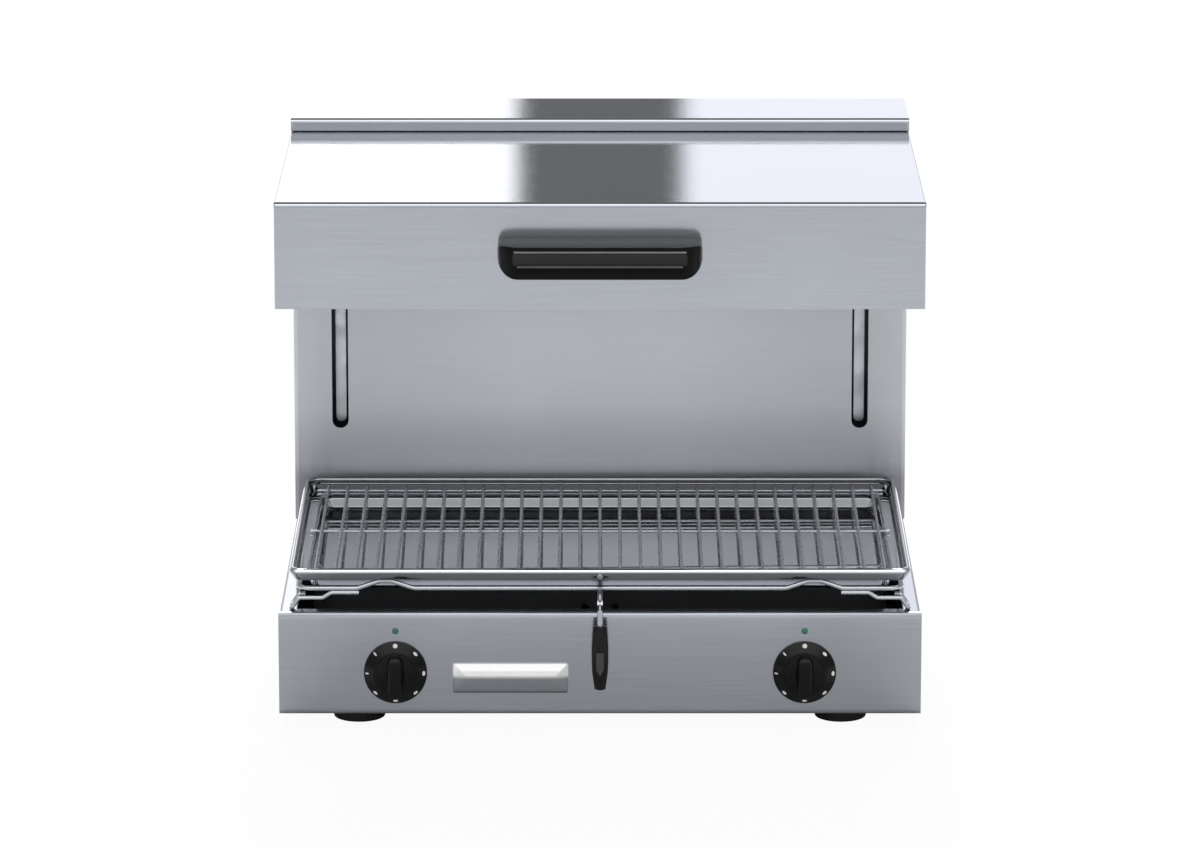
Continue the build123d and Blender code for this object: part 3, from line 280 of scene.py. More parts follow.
def moulded(name, colour, roughness, grit, depth, coat=0.0, specular=0.5):
    # Moulded plastic, rubber or ceramic: a fine spark-eroded grain from the tool.
    material, tree, principled = newMaterial(name, IOR=1.5, Coat_Weight=coat, Coat_Roughness=0.08,
                                             Specular_IOR_Level=specular)
    place = addNode(tree, "ShaderNodeTexCoord")
    grain = addNode(tree, "ShaderNodeTexNoise", {"Scale": 1 / grit, "Detail": 3.0},
                    {"Vector": place.outputs["Object"]})
    # the mix is a little uneven, in patches about 17 mm across
    blotch = addNode(tree, "ShaderNodeTexNoise", {"Scale": 60.0, "Detail": 2.0}, {"Vector": place.outputs["Object"]})
    tone = addNode(tree, "ShaderNodeMapRange", {"From Min": 0.3, "From Max": 0.7, "To Min": 0.9, "To Max": 1.1},
                   {"Value": blotch.outputs[0]})
    tint = addNode(tree, "ShaderNodeVectorMath", {"operation": "SCALE", 0: linear(colour)[:3]},
                   {"Scale": tone.outputs[0]})
    gloss = addNode(tree, "ShaderNodeMapRange", {"From Min": 0.3, "From Max": 0.7, "To Min": 0.85 * roughness,
                                                 "To Max": 1.15 * roughness}, {"Value": grain.outputs[0]})
    bump = addNode(tree, "ShaderNodeBump", {"Strength": 0.35, "Distance": depth}, {"Height": grain.outputs[0]})
    tree.links.new(tint.outputs[0], principled.inputs["Base Color"])
    tree.links.new(gloss.outputs[0], principled.inputs["Roughness"])
    tree.links.new(bump.outputs[0], principled.inputs["Normal"])
    return material


def shadeBy(material, share):  # scale a finish's colour by a value in its own tree
    tree = material.node_tree
    base = tree.nodes["Principled BSDF"].inputs["Base Color"]
    scaled = addNode(tree, "ShaderNodeVectorMath", {"operation": "SCALE"},
                     {0: base.links[0].from_socket, "Scale": share.outputs[0]})
    tree.links.new(scaled.outputs[0], base)


finishes = {
    "brushed_steel": steelSheet("brushedStainless", "#b2b6bd", 0.16, 0.035, 0.06, 0.9),
    "plain_steel": steelSheet("millStainless", "#7d8186", 0.34, 0.22, 0.05, 0.92),
    "polished_steel": brightMetal("polishedStainless", "#e9ebee", 0.04, 0.05),
    "bright_wire": brightMetal("drawnWire", "#c0c2c7", 0.26, 0.02),
    "hidden_steel": brightMetal("zincPlated", "#8b8f93", 0.38, 0.03),
    "fastener_steel": brightMetal("plainScrewSteel", "#b9bbbf", 0.25, 0.01),
    "element_sheath": moulded("oxidisedSheath", "#26231f", 0.5, 0.0006, 0.00005),
    "black_enamel": moulded("blackEnamel", "#151515", 0.3, 0.0008, 0.00003),
    "ceramic": moulded("steatiteCeramic", "#dcd7c8", 0.6, 0.0006, 0.00005),
    "mineral_wool": moulded("mineralWool", "#b3a683", 0.95, 0.002, 0.001),
    "black_gloss": moulded("glossyPhenolic", "#0a0a0b", 0.14, 0.0009, 0.00002, 0.0, 0.35),
    "black_matte": moulded("satinPhenolic", "#0b0b0c", 0.3, 0.0005, 0.00003, 0.0, 0.26),
    "regulator_case": moulded("brownPhenolic", "#3a3029", 0.5, 0.0006, 0.00004),
    "lamp_green": moulded("greenLens", "#277358", 0.15, 0.0006, 0.00001, 0.5),
    "slide_nylon": moulded("naturalNylon", "#d8d5ca", 0.45, 0.0006, 0.00003),
    "wire_cover": moulded("siliconeSleeve", "#1d1d1f", 0.6, 0.0005, 0.00004),
    "foot_rubber": moulded("footRubber", "#242425", 0.7, 0.0007, 0.00006),
}
for entry in frame["record"]["subparts"]:
    mesh = nodes[entry["node"]].data
    mesh.materials.clear()
    mesh.materials.append(finishes[entry["material_slot"]])

# Front panels: painted shade makes both a little darker towards their ends and at the foot. Shading is given as two
# places, and the shares of the colour at these.
frontPanels = {
    "base_front_panel": {  # painted highlight on the lower part of the top fold, painted shade on its crest
        "sheet": ("frontStainless", "#b2b6bd", 0.16, 0.2, 0.06, 0.9),
        "foot": (0.0185, 0.0240, 0.62),
        "fromMiddle": (0.15, 0.29, 1.0, 0.86),
        "byHeight": ((0.1095, 0.1137, 1.0, 1.25), (0.1126, 0.1146, 1.0, 0.55)),
    },
    "column_front_panel": {  # painted paler than the hood's stainless, rougher, and painted shade darkens it behind the tray
        "sheet": ("columnStainless", "#d3d6dc", 0.32, 0.1, 0.04, 0.9),
        "foot": (0.158, 0.176, 0.66),
        "fromMiddle": (0.08, 0.29, 1.0, 0.8),
        "byHeight": ((0.180, 0.232, 0.76, 1.0),),
    },
}
for name, panel in frontPanels.items():
    finish = steelSheet(*panel["sheet"], panel["foot"])
    tree = finish.node_tree
    place = addNode(tree, "ShaderNodeTexCoord")
    spot = addNode(tree, "ShaderNodeSeparateXYZ", links={0: place.outputs["Object"]})
    offMiddle = addNode(tree, "ShaderNodeMath", {"operation": "ABSOLUTE"}, {0: spot.outputs["X"]})
    ramps = [(offMiddle.outputs[0], panel["fromMiddle"])] + [(spot.outputs["Z"], ramp) for ramp in panel["byHeight"]]
    for where, (start, stop, first, last) in ramps:
        shadeBy(finish, addNode(tree, "ShaderNodeMapRange", {"From Min": start, "From Max": stop, "To Min": first,
                                                             "To Max": last}, {"Value": where}))
    nodes[name].data.materials[0] = finish

# Hood and cap: a fine dark, matt band without metal runs along the top, just behind the folded front's bend
darkBand = {"bend": 0.0014, "width": 0.0040, "shade": 0.97, "metallic": 0.9}
for name, roughness in (("hood_shell", 0.11), ("column_cap", 0.16)):
    bandedSheet = steelSheet(name + "Stainless", "#b2b6bd", roughness, 0.035, 0.06, darkBand["metallic"])
    tree = bandedSheet.node_tree
    principled = tree.nodes["Principled BSDF"]
    half = darkBand["width"] / 2
    place = addNode(tree, "ShaderNodeTexCoord")
    depth = addNode(tree, "ShaderNodeSeparateXYZ", links={0: place.outputs["Object"]})
    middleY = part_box(name)[0].y + darkBand["bend"] + half
    inDarkBand = addNode(tree, "ShaderNodeMath", {"operation": "COMPARE", 1: middleY, 2: half}, {0: depth.outputs["Y"]})
    shadeBy(bandedSheet, addNode(tree, "ShaderNodeMath", {"operation": "MULTIPLY_ADD", 1: -darkBand["shade"], 2: 1.0},
                            {0: inDarkBand.outputs[0]}))
    metal = addNode(tree, "ShaderNodeMath", {"operation": "MULTIPLY_ADD", 1: -darkBand["metallic"], 2: darkBand["metallic"]},
                    {0: inDarkBand.outputs[0]})
    tree.links.new(metal.outputs[0], principled.inputs["Metallic"])
    matt = addNode(tree, "ShaderNodeMath", {"operation": "MAXIMUM"},
                   {0: principled.inputs["Roughness"].links[0].from_socket, 1: inDarkBand.outputs[0]})
    tree.links.new(matt.outputs[0], principled.inputs["Roughness"])
    nodes[name].data.materials[0] = bandedSheet

railFinish = brightMetal("groundRail", "#d2d5da", 0.36, 0.02)
wellFinish = steelSheet("stainedWellSteel", "#45484c", 0.4, 0.35, 0.1, 0.9)
reflectorFinish = brightMetal("heatStainedSteel", "#4a4643", 0.4, 0.03)
for name, finish in (("left_guide_rail", railFinish), ("right_guide_rail", railFinish), ("base_floor", wellFinish),
                     ("control_cover", wellFinish), ("reflector", reflectorFinish)):
    nodes[name].data.materials[0] = finish
print("finishes:", len(finishes))


# Modelling helpers

def toObjectMode():
    if bpy.context.object and bpy.context.object.mode == "EDIT":
        bpy.ops.object.mode_set(mode="OBJECT")


def selectOnly(piece):
    toObjectMode()
    bpy.ops.object.select_all(action="DESELECT")
    bpy.context.view_layer.objects.active = piece
    piece.select_set(True)


def pick(piece, kind, test):  # select by place or normal, and stay in edit mode
    mesh = piece.data
    bpy.ops.object.mode_set(mode="EDIT")
    bpy.ops.mesh.select_mode(type=kind)
    bpy.ops.mesh.select_all(action="DESELECT")
    bpy.ops.object.mode_set(mode="OBJECT")
    if kind == "FACE":
        for face in mesh.polygons:
            face.select = test(face.center, face.normal)
    elif kind == "EDGE":
        for edge in mesh.edges:
            edge.select = test(*(mesh.vertices[i].co for i in edge.vertices))
    else:
        for vertex in mesh.vertices:
            vertex.select = test(vertex.co)
    bpy.ops.object.mode_set(mode="EDIT")


def addBlock(low, high):  # a box between two corners, as the one selected object
    toObjectMode()
    bpy.ops.object.select_all(action="DESELECT")
    bpy.ops.mesh.primitive_cube_add(size=1, location=[(a + b) / 2 for a, b in zip(low, high)])
    block = bpy.context.object
    block.scale = [b - a for a, b in zip(low, high)]
    bpy.ops.object.transform_apply(location=True, rotation=True, scale=True)
    return block


def addDisc(radius, depth, centre, facing, sides=64):  # a round bar along one axis
    toObjectMode()
    bpy.ops.object.select_all(action="DESELECT")
    turns = {"X": (0, math.pi / 2, 0), "Y": (math.pi / 2, 0, 0), "Z": (0, 0, 0)}
    bpy.ops.mesh.primitive_cylinder_add(vertices=sides, radius=radius, depth=depth, location=centre,
                                        rotation=turns[facing])
    bpy.ops.object.transform_apply(location=True, rotation=True, scale=True)
    return bpy.context.object


def carve(piece, tool, operation="DIFFERENCE"):  # boolean with a tool that is then thrown away
    selectOnly(piece)
    modifier = piece.modifiers.new("carve", "BOOLEAN")
    modifier.object = tool
    modifier.operation = operation
    modifier.solver = "EXACT"
    modifier.material_mode = "TRANSFER"
    bpy.ops.object.modifier_apply(modifier=modifier.name)
    bpy.data.objects.remove(tool)


def softenEdges(piece, width, segments, angle):  # bevel every edge sharper than the angle
    selectOnly(piece)
    modifier = piece.modifiers.new("soften", "BEVEL")
    modifier.width = width
    modifier.segments = segments
    modifier.limit_method = "ANGLE"
    modifier.angle_limit = math.radians(angle)
    modifier.harden_normals = False
    bpy.ops.object.modifier_apply(modifier=modifier.name)


# name a piece, smooth it, give it a finish if it has none, hang it on its body, and hide the CAD nodes it stands for
def finishPiece(piece, name, body, finish, stands=(), smooth=35):
    selectOnly(piece)
    piece.name = name
    piece.data.name = name
    bpy.ops.object.shade_smooth_by_angle(angle=math.radians(smooth))
    if not any(piece.data.materials):
        piece.data.materials.clear()
        piece.data.materials.append(finish)
    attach(piece, body)
    if stands:
        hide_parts(*stands)
    return piece


# Hood handle: one glossy moulded bow with a finger groove along its front
handle = {
    "raise": 0.004,  # the bow's top stands this much higher than the plain solid
    "bar": 0.0132,  # thickness of the bow
    "lid": 0.003,  # the grip is closed over the fingers
    "planCorner": 0.022,
    "lowCorner": 0.018,  # front view
    "highCorner": 0.006,
    "edge": 0.0032,
    "groove": (0.160, 0.0139, 0.0030),  # length, height, depth
    "grooveDrop": 0.0046,
    "recess": 0.0010,
    "lipBead": 0.0008,  # radius of the fine bead over the groove
    "ledgeBead": 0.0013,
    "grooveEnd": 0.004,
    "fineEdge": 0.0007,
    "margin": (0.004, 0.0016, 0.0022),  # of the recess round the groove: ends, below, above
    "beadShort": (0.002, 0.008),  # how much shorter than the groove the two beads are
    "cutter": 0.01,  # how far cutting blocks reach past the piece
}
handleFinish = moulded("handlePhenolic", "#0a0a0b", 0.16, 0.0009, 0.00002, 0.0, 0.095)
# painted sheen: the groove gets a paler, glossier copy of the handle's black, standing in for the light it catches
grooveSheenPaint = moulded("paintedGrooveSheen", "#1d1d1e", 0.22, 0.0009, 0.00002, 0.0, 0.3)
# painted highlights: the two beads along the groove's edges get pale greys, standing in for the bright lines they
# catch
lipHighlightPaint = moulded("paintedLipHighlight", "#838385", 0.3, 0.0009, 0.00002)
ledgeHighlightPaint = moulded("paintedLedgeHighlight", "#404042", 0.3, 0.0009, 0.00002)
low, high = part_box("hood_handle")
high.z += handle["raise"]
bow = addBlock(low, high)
pick(bow, "EDGE", lambda a, b: max(a.y, b.y) < low.y + close and abs(a.z - b.z) > mm)
bpy.ops.mesh.bevel(offset=handle["planCorner"], segments=14, affect="EDGES")
outline = addBlock((low.x, low.y - handle["cutter"], low.z), (high.x, high.y + handle["cutter"], high.z))
pick(outline, "EDGE", lambda a, b: abs(a.y - b.y) > mm and max(a.z, b.z) < low.z + close)
bpy.ops.mesh.bevel(offset=handle["lowCorner"], segments=14, affect="EDGES")
pick(outline, "EDGE", lambda a, b: abs(a.y - b.y) > mm and min(a.z, b.z) > high.z - close)
bpy.ops.mesh.bevel(offset=handle["highCorner"], segments=8, affect="EDGES")
carve(bow, outline, "INTERSECT")
fingerGap = addBlock((low.x + handle["bar"], low.y + handle["bar"], low.z - handle["cutter"]),
                     (high.x - handle["bar"], high.y + handle["cutter"], high.z - handle["lid"]))
pick(fingerGap, "EDGE", lambda a, b: abs(a.z - b.z) > mm and max(a.y, b.y) < low.y + handle["bar"] + close)
bpy.ops.mesh.bevel(offset=handle["planCorner"] - handle["bar"], segments=8, affect="EDGES")
carve(bow, fingerGap)
softenEdges(bow, handle["edge"], 5, 50)
grooveLength, grooveHeight, grooveDepth = handle["groove"]
grooveTop = high.z - handle["grooveDrop"]
endMargin, underMargin, overMargin = handle["margin"]
recess = addBlock((-grooveLength / 2 - endMargin, low.y - handle["cutter"], grooveTop - grooveHeight - underMargin),
                  (grooveLength / 2 + endMargin, low.y + handle["recess"], grooveTop + overMargin))
pick(recess, "EDGE", lambda a, b: abs(a.y - b.y) > mm)
bpy.ops.mesh.bevel(offset=handle["grooveEnd"], segments=6, affect="EDGES")
carve(bow, recess)
groove = addBlock((-grooveLength / 2, low.y - handle["cutter"], grooveTop - grooveHeight),
                  (grooveLength / 2, low.y + grooveDepth, grooveTop))
pick(groove, "EDGE", lambda a, b: abs(a.y - b.y) > mm)
bpy.ops.mesh.bevel(offset=handle["grooveEnd"], segments=6, affect="EDGES")
bow.data.materials.clear()
bow.data.materials.append(handleFinish)
groove.data.materials.append(grooveSheenPaint)
carve(bow, groove)
softenEdges(bow, handle["fineEdge"], 3, 40)
beads = ((handle["lipBead"], grooveTop, lipHighlightPaint), (handle["ledgeBead"], grooveTop - grooveHeight, ledgeHighlightPaint))
for (radius, level, finish), short in zip(beads, handle["beadShort"]):
    bead = addDisc(radius, grooveLength - short, (0, low.y + radius, level), "X", 16)
    softenEdges(bead, 0.6 * radius, 3, 60)
    bead.data.materials.append(finish)
    carve(bow, bead, "UNION")
finishPiece(bow, "handle_bow", "hood", handleFinish, ["hood_handle"])
print("handle:", len(bow.data.polygons), "faces")

# Control knobs: conical skirt, raised hub and a grip bar that swells at its middle
knob = {
    "skirtEdge": 0.0022,
    "skirtRound": 0.0007,
    "hubRadius": 0.0195,
    "skirtDepth": 0.008,
    "hubDepth": 0.0118,
    "hubStep": 0.0014,
    "barWidth": 0.0128,
    "barSwell": 1.42,  # width at the middle, at the foot of the bar
    "barFront": 0.86,  # width of the front face against the foot
    "barLength": 0.0376,
    "barEnd": 0.0035,
    "barEdge": 0.0011,
    "barSink": 0.001,  # into the hub
    "barFrontLength": 0.95,
    "hubRing": 0.0006,  # height of the step round the hub
    "hubTaper": 0.975,
    "fineEdge": 0.0005,
}
marks = {  # degrees clockwise from the top: radial size and size round the dial
    "reach": 0.0264,
    "proud": 0.00012,
    "places": ((0, 0.0044, 0.0044), (45, 0.0029, 0.0049), (90, 0.0033, 0.0046), (135, 0.0031, 0.0047),
               (180, 0.0029, 0.0045), (225, 0.0029, 0.0047), (270, 0.0040, 0.0016), (315, 0.0047, 0.0016)),
}
knobFinish = moulded("satinKnob", "#0d0d0e", 0.26, 0.0005, 0.00003, 0.0, 0.18)
markPaint = moulded("whiteMarkPaint", "#f4f4f2", 0.5, 0.0006, 0.00001)
for side in ("left", "right"):
    low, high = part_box(side + "_knob")
    axisX, axisZ = (low.x + high.x) / 2, (low.z + high.z) / 2
    radius, back = (high.x - low.x) / 2, high.y
    dial = addDisc(radius, knob["skirtEdge"], (axisX, back - knob["skirtEdge"] / 2, axisZ), "Y", 96)
    slope = knob["skirtDepth"] - knob["skirtEdge"]
    pick(dial, "FACE", lambda centre, normal: normal.y < -0.9)
    stages = ((slope, (knob["hubRadius"] + knob["hubStep"]) / radius),  # forward by, then scaled by
              (knob["hubRing"], 1.0), (0.0, knob["hubRadius"] / (knob["hubRadius"] + knob["hubStep"])),
              (knob["hubDepth"] - knob["skirtDepth"] - knob["hubRing"], knob["hubTaper"]))
    for forward, shrink in stages:
        bpy.ops.mesh.extrude_region_move(TRANSFORM_OT_translate={"value": (0, -forward, 0)})
        bpy.ops.transform.resize(value=(shrink, 1, shrink), center_override=(axisX, back, axisZ))
    bpy.ops.mesh.select_all(action="SELECT")
    bpy.ops.mesh.remove_doubles(threshold=close)
    softenEdges(dial, knob["skirtRound"], 3, 25)
    hubFace = back - knob["hubDepth"]
    bar = addBlock((axisX - knob["barWidth"] / 2, low.y, axisZ - knob["barLength"] / 2),
                   (axisX + knob["barWidth"] / 2, hubFace + knob["barSink"], axisZ + knob["barLength"] / 2))
    bpy.ops.object.mode_set(mode="EDIT")
    bpy.ops.mesh.select_all(action="SELECT")
    bpy.ops.mesh.bisect(plane_co=(axisX, 0, axisZ), plane_no=(0, 0, 1))
    pick(bar, "VERT", lambda co: abs(co.z - axisZ) < close and co.y > hubFace)
    bpy.ops.transform.resize(value=(knob["barSwell"], 1, 1), center_override=(axisX, 0, axisZ))
    pick(bar, "VERT", lambda co: co.y < low.y + close)
    bpy.ops.transform.resize(value=(knob["barFront"], 1, knob["barFrontLength"]), center_override=(axisX, 0, axisZ))
    pick(bar, "EDGE", lambda a, b: abs(a.y - b.y) > 10 * mm and min(abs(a.z - axisZ), abs(b.z - axisZ)) > 10 * mm)
    bpy.ops.mesh.bevel(offset=knob["barEnd"], segments=5, affect="EDGES")
    softenEdges(bar, knob["barEdge"], 3, 20)
    carve(dial, bar, "UNION")
    softenEdges(dial, knob["fineEdge"], 2, 45)
    finishPiece(dial, side + "_dial", side + "_control", knobFinish, [side + "_knob"], 30)

    bpy.ops.object.select_all(action="DESELECT")
    tilt = math.atan2(slope, radius - knob["hubRadius"] - knob["hubStep"])
    dots = []
    for turn, radial, along in marks["places"]:
        bpy.ops.mesh.primitive_circle_add(vertices=24, radius=0.5, fill_type="NGON")
        dot = bpy.context.object
        bpy.ops.object.mode_set(mode="EDIT")
        bpy.ops.mesh.select_all(action="SELECT")
        bpy.ops.transform.resize(value=(along, radial, 1))
        bpy.ops.mesh.extrude_region_move(TRANSFORM_OT_translate={"value": (0, 0, 2 * marks["proud"])})
        bpy.ops.mesh.select_all(action="SELECT")
        bpy.ops.mesh.normals_make_consistent(inside=False)
        bpy.ops.object.mode_set(mode="OBJECT")
        depth = knob["skirtEdge"] + (radius - marks["reach"]) * math.tan(tilt)
        lean = Matrix.Rotation(math.pi / 2 - tilt, 4, "X")
        swing = Matrix.Rotation(math.radians(turn), 4, "Y")
        lift = Matrix.Translation((0, -depth + marks["proud"], marks["reach"]))
        dot.data.transform(Matrix.Translation((axisX, back, axisZ)) @ swing @ lift @ lean)
        dots.append(dot)
    bpy.ops.object.select_all(action="DESELECT")
    for dot in dots:
        dot.select_set(True)
    bpy.context.view_layer.objects.active = dots[0]
    bpy.ops.object.join()
    finishPiece(dots[0], side + "_dial_marks", side + "_control", markPaint)
print("knobs:", len(dial.data.polygons), "faces each")

# Carrier grip: a faceted black moulding with a paler pointed panel sunk in its front
grip = {
    "levels": ((0.0, 12.2), (0.30, 15.0), (0.52, 15.58), (0.72, 14.6), (1.0, 10.2)),  # share of length, mm wide
    "facet": 0.0034,
    "edge": 0.0005,
    "panel": (0.0072, 0.0160, 0.0070),  # width, length of the straight part, length of the point
    "panelTop": 0.0245,  # below the grip's upper end
    "panelSink": 0.0007,
    "panelTip": 0.05,  # width left at the point
}
panelFinish = moulded("greyGripPanel", "#4b4b4c", 0.5, 0.0005, 0.00003, 0.0, 0.3)
low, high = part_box("carrier_grip")
middleY = (low.y + high.y) / 2
widest = high.x - low.x
holder = addBlock(low, high)
bpy.ops.object.mode_set(mode="EDIT")
for share, widthMm in grip["levels"][1:-1]:
    bpy.ops.mesh.select_all(action="SELECT")
    bpy.ops.mesh.bisect(plane_co=(0, 0, high.z + share * (low.z - high.z)), plane_no=(0, 0, 1))
for share, widthMm in grip["levels"]:
    level = high.z + share * (low.z - high.z)
    pick(holder, "VERT", lambda co: abs(co.z - level) < close)
    bpy.ops.transform.resize(value=(widthMm * mm / widest, widthMm * mm / widest, 1),
                             center_override=(0, middleY, level))
pick(holder, "EDGE", lambda a, b: abs(a.z - b.z) > mm and min(abs(a.x), abs(b.x)) > mm)
bpy.ops.mesh.bevel(offset=grip["facet"], segments=1, affect="EDGES")
softenEdges(holder, grip["edge"], 2, 12)
panelWidth, panelLength, panelPoint = grip["panel"]
panelHigh = high.z - grip["panelTop"]
panel = addBlock((-panelWidth / 2, low.y - 10 * mm, panelHigh - panelLength - panelPoint),
                 (panelWidth / 2, low.y + grip["panelSink"], panelHigh))
bpy.ops.object.mode_set(mode="EDIT")
bpy.ops.mesh.select_all(action="SELECT")
bpy.ops.mesh.bisect(plane_co=(0, 0, panelHigh - panelLength), plane_no=(0, 0, 1))
pick(panel, "VERT", lambda co: co.z < panelHigh - panelLength - close)
bpy.ops.transform.resize(value=(grip["panelTip"], 1, 1), center_override=(0, 0, 0))
bpy.ops.object.mode_set(mode="OBJECT")
holder.data.materials.append(finishes["black_matte"])
panel.data.materials.append(panelFinish)
carve(holder, panel)
finishPiece(holder, "grip_moulding", "grip", finishes["black_matte"], ["carrier_grip"], 20)
print("grip:", len(holder.data.polygons), "faces")

# Badge plate: a bare chromed plate, pillowed, with a fine raised border
badge = {
    "corner": 0.0026,
    "border": 0.0009,
    "groove": (0.0003, 0.0004),  # width and depth, inside the border
    "fade": (0.45, 0.63),  # shares of the height between which it goes from dark to light
    "foot": (0.001, 0.0028, 0.5),  # painted shade between these heights, down to this share
    "rise": 0.0009,  # how far the border stands off the panel
    "crown": 0.0028,
    "light": "#fdfdfd",  # painted highlight at the top edge, painted shade further down
    "dark": "#a0a3a8",
    "rings": (0.0008, 0.0018, 0.003, 0.0045, 0.006, 0.0078, 0.0098, 0.0122),  # distances in from the border
}
low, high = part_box("badge_plate")
plate = addBlock((low.x, high.y - badge["rise"], low.z), high)
pick(plate, "EDGE", lambda a, b: abs(a.y - b.y) > 0.1 * mm)
bpy.ops.mesh.bevel(offset=badge["corner"], segments=5, affect="EDGES")
pick(plate, "FACE", lambda centre, normal: normal.y < -0.9)
bpy.ops.mesh.inset(thickness=badge["border"], depth=0)
grooveWide, grooveDeep = badge["groove"]
bpy.ops.mesh.inset(thickness=grooveWide, depth=-grooveDeep)
middle = (low + high) / 2
wide = high.x - low.x - 2 * (badge["border"] + grooveWide)
tall = high.z - low.z - 2 * (badge["border"] + grooveWide)
ringIn, ringUp = 0.0, 0.0
for distance in badge["rings"]:  # each ring of the pillow stands a little further out
    up = badge["crown"] * (1 - (1 - 2 * distance / tall) ** 2)
    bpy.ops.mesh.extrude_region_move(TRANSFORM_OT_translate={"value": (0, ringUp - up, 0)})
    bpy.ops.transform.resize(value=((wide - 2 * distance) / (wide - 2 * ringIn), 1,
                                    (tall - 2 * distance) / (tall - 2 * ringIn)), center_override=middle)
    ringIn, ringUp = distance, up
# chromed brass: a soft mirror; its colour is painted pale above and grey below, a painted highlight and shade for its
# pillow
badgeFinish, tree, principled = newMaterial("shadedPlate", Metallic=1.0, Roughness=0.24)
place = addNode(tree, "ShaderNodeTexCoord")
height = addNode(tree, "ShaderNodeSeparateXYZ", links={0: place.outputs["Object"]})
fadeFrom, fadeTo = (low.z + share * (high.z - low.z) for share in badge["fade"])
fade = addNode(tree, "ShaderNodeMapRange", {"interpolation_type": "SMOOTHSTEP", "From Min": fadeFrom,
                                            "From Max": fadeTo}, {"Value": height.outputs["Z"]})
shade = addNode(tree, "ShaderNodeMix", {"data_type": "RGBA", 6: linear(badge["dark"]), 7: linear(badge["light"])},
                {0: fade.outputs[0]})
tree.links.new(shade.outputs[2], principled.inputs["Base Color"])
footLow, footHigh, footShare = badge["foot"]
shadeBy(badgeFinish, addNode(tree, "ShaderNodeMapRange", {"From Min": low.z + footLow, "From Max": low.z + footHigh,
                                                          "To Min": footShare, "To Max": 1.0},
                             {"Value": height.outputs["Z"]}))
finishPiece(plate, "bare_badge", "cabinet", badgeFinish, ["badge_plate"], 50)
print("badge:", len(plate.data.polygons), "faces")

# Drip tray: one mirror-bright pressing with a rolled rim, a leaning lip and a ledge for the grid
tray = {
    "corner": 0.010,
    "bead": 0.0036,  # outer radius of the rolled rim
    "roll": (0.0016, 200),  # its inner radius and the degrees where it ends
    "hem": 0.0007,  # radius of the skirt's turned edge
    "hemDown": 0.0111,
    "skirtLean": 32,  # degrees of the outer skirt from upright
    "lean": 20,  # degrees of the inner lip from upright
    "ridge": (0.0041, 0.0008, 0.0008),  # a fine ridge inside the lip: how far down, half height, height
    "draft": 14,  # degrees of the pan's walls
    "lipFoot": ((-0.0008, 0.0010), (-0.0002, 0.0004), (0.0007, 0.0)),  # where lip and ledge meet: further in, higher
    "ledgeDrop": 0.0096,
    "ledgeEnd": 0.0175,  # inside the rim
    "sideShare": 0.72,  # the ledge is narrower at the two sides
    "shoulder": 0.006,
    "foot": 0.0045,  # radius into the floor
    "floorDrop": 0.0240,
    "backRise": 0.0033,  # how much higher the rim stands at the back
    "sheet": 0.0008,
    "shadePast": (0.001, 0.002),  # the lip's painted shade ends this far in and down from the ledge's start
    "rimColourRoll": 1.15,  # the roll keeps the rim's colour down to this many of its inner radii
    "wallStart": 0.3,  # share of the shoulder above the wall's finish
}
low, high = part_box("drip_tray")
middle = (low + high) / 2
rimWide, rimDeep = high.x - low.x, high.y - low.y


def arc(centreIn, centreDown, radius, start, stop, steps):  # 0 degrees points out, 90 up
    turns = [math.radians(start + (stop - start) * step / steps) for step in range(steps + 1)]
    return [(centreIn - radius * math.cos(turn), centreDown - radius * math.sin(turn)) for turn in turns]


skirtLean = math.radians(tray["skirtLean"])
hemSide = (tray["hem"] * math.cos(skirtLean)
           + (tray["hemDown"] + tray["hem"] * math.sin(skirtLean) - tray["bead"]) * math.tan(skirtLean))
section = arc(hemSide, tray["hemDown"], tray["hem"], -200, -tray["skirtLean"], 8)
section += arc(tray["bead"], tray["bead"], tray["bead"], 0, 90, 10)
rollRadius, rollEnd = tray["roll"]
section += arc(tray["bead"], rollRadius, rollRadius, 90, rollEnd, 8)[1:]
lipIn, lipDown = section[-1]
ridgeDown, ridgeHalf, ridgeHigh = tray["ridge"]
lipSlope = math.tan(math.radians(tray["lean"]))
for step in range(-2, 3):
    down = ridgeDown + ridgeHalf * step / 2
    section.append((lipIn + (down - lipDown) * lipSlope + ridgeHigh * (1 - step * step / 4), down))
ledgeIn = lipIn + (tray["ledgeDrop"] - lipDown) * lipSlope
section += [(ledgeIn + further, tray["ledgeDrop"] - higher) for further, higher in tray["lipFoot"]]
draft = math.radians(tray["draft"])
section += arc(tray["ledgeEnd"], tray["ledgeDrop"] + tray["shoulder"], tray["shoulder"], 90, 180 - tray["draft"], 6)
footDown = tray["floorDrop"] - tray["foot"] * (1 - math.sin(draft))
footIn = section[-1][0] + (footDown - section[-1][1]) * math.tan(draft)
section += arc(footIn + tray["foot"] * math.cos(draft), tray["floorDrop"] - tray["foot"], tray["foot"],
               -tray["draft"], -90, 6)
bpy.ops.object.select_all(action="DESELECT")
bpy.ops.mesh.primitive_plane_add(size=1, location=(middle.x, middle.y, high.z - section[0][1]))
pan = bpy.context.object
pan.scale = (rimWide - 2 * section[0][0], rimDeep - 2 * section[0][0], 1)
bpy.ops.object.transform_apply(location=True, rotation=True, scale=True)
bpy.ops.object.mode_set(mode="EDIT")
bpy.ops.mesh.select_mode(type="VERT")
bpy.ops.mesh.select_all(action="SELECT")
bpy.ops.mesh.bevel(offset=tray["corner"], segments=10, affect="VERTICES")
bpy.ops.mesh.select_all(action="SELECT")
bpy.ops.mesh.delete(type="ONLY_FACE")
bpy.ops.mesh.select_mode(type="EDGE")
bpy.ops.mesh.select_all(action="SELECT")
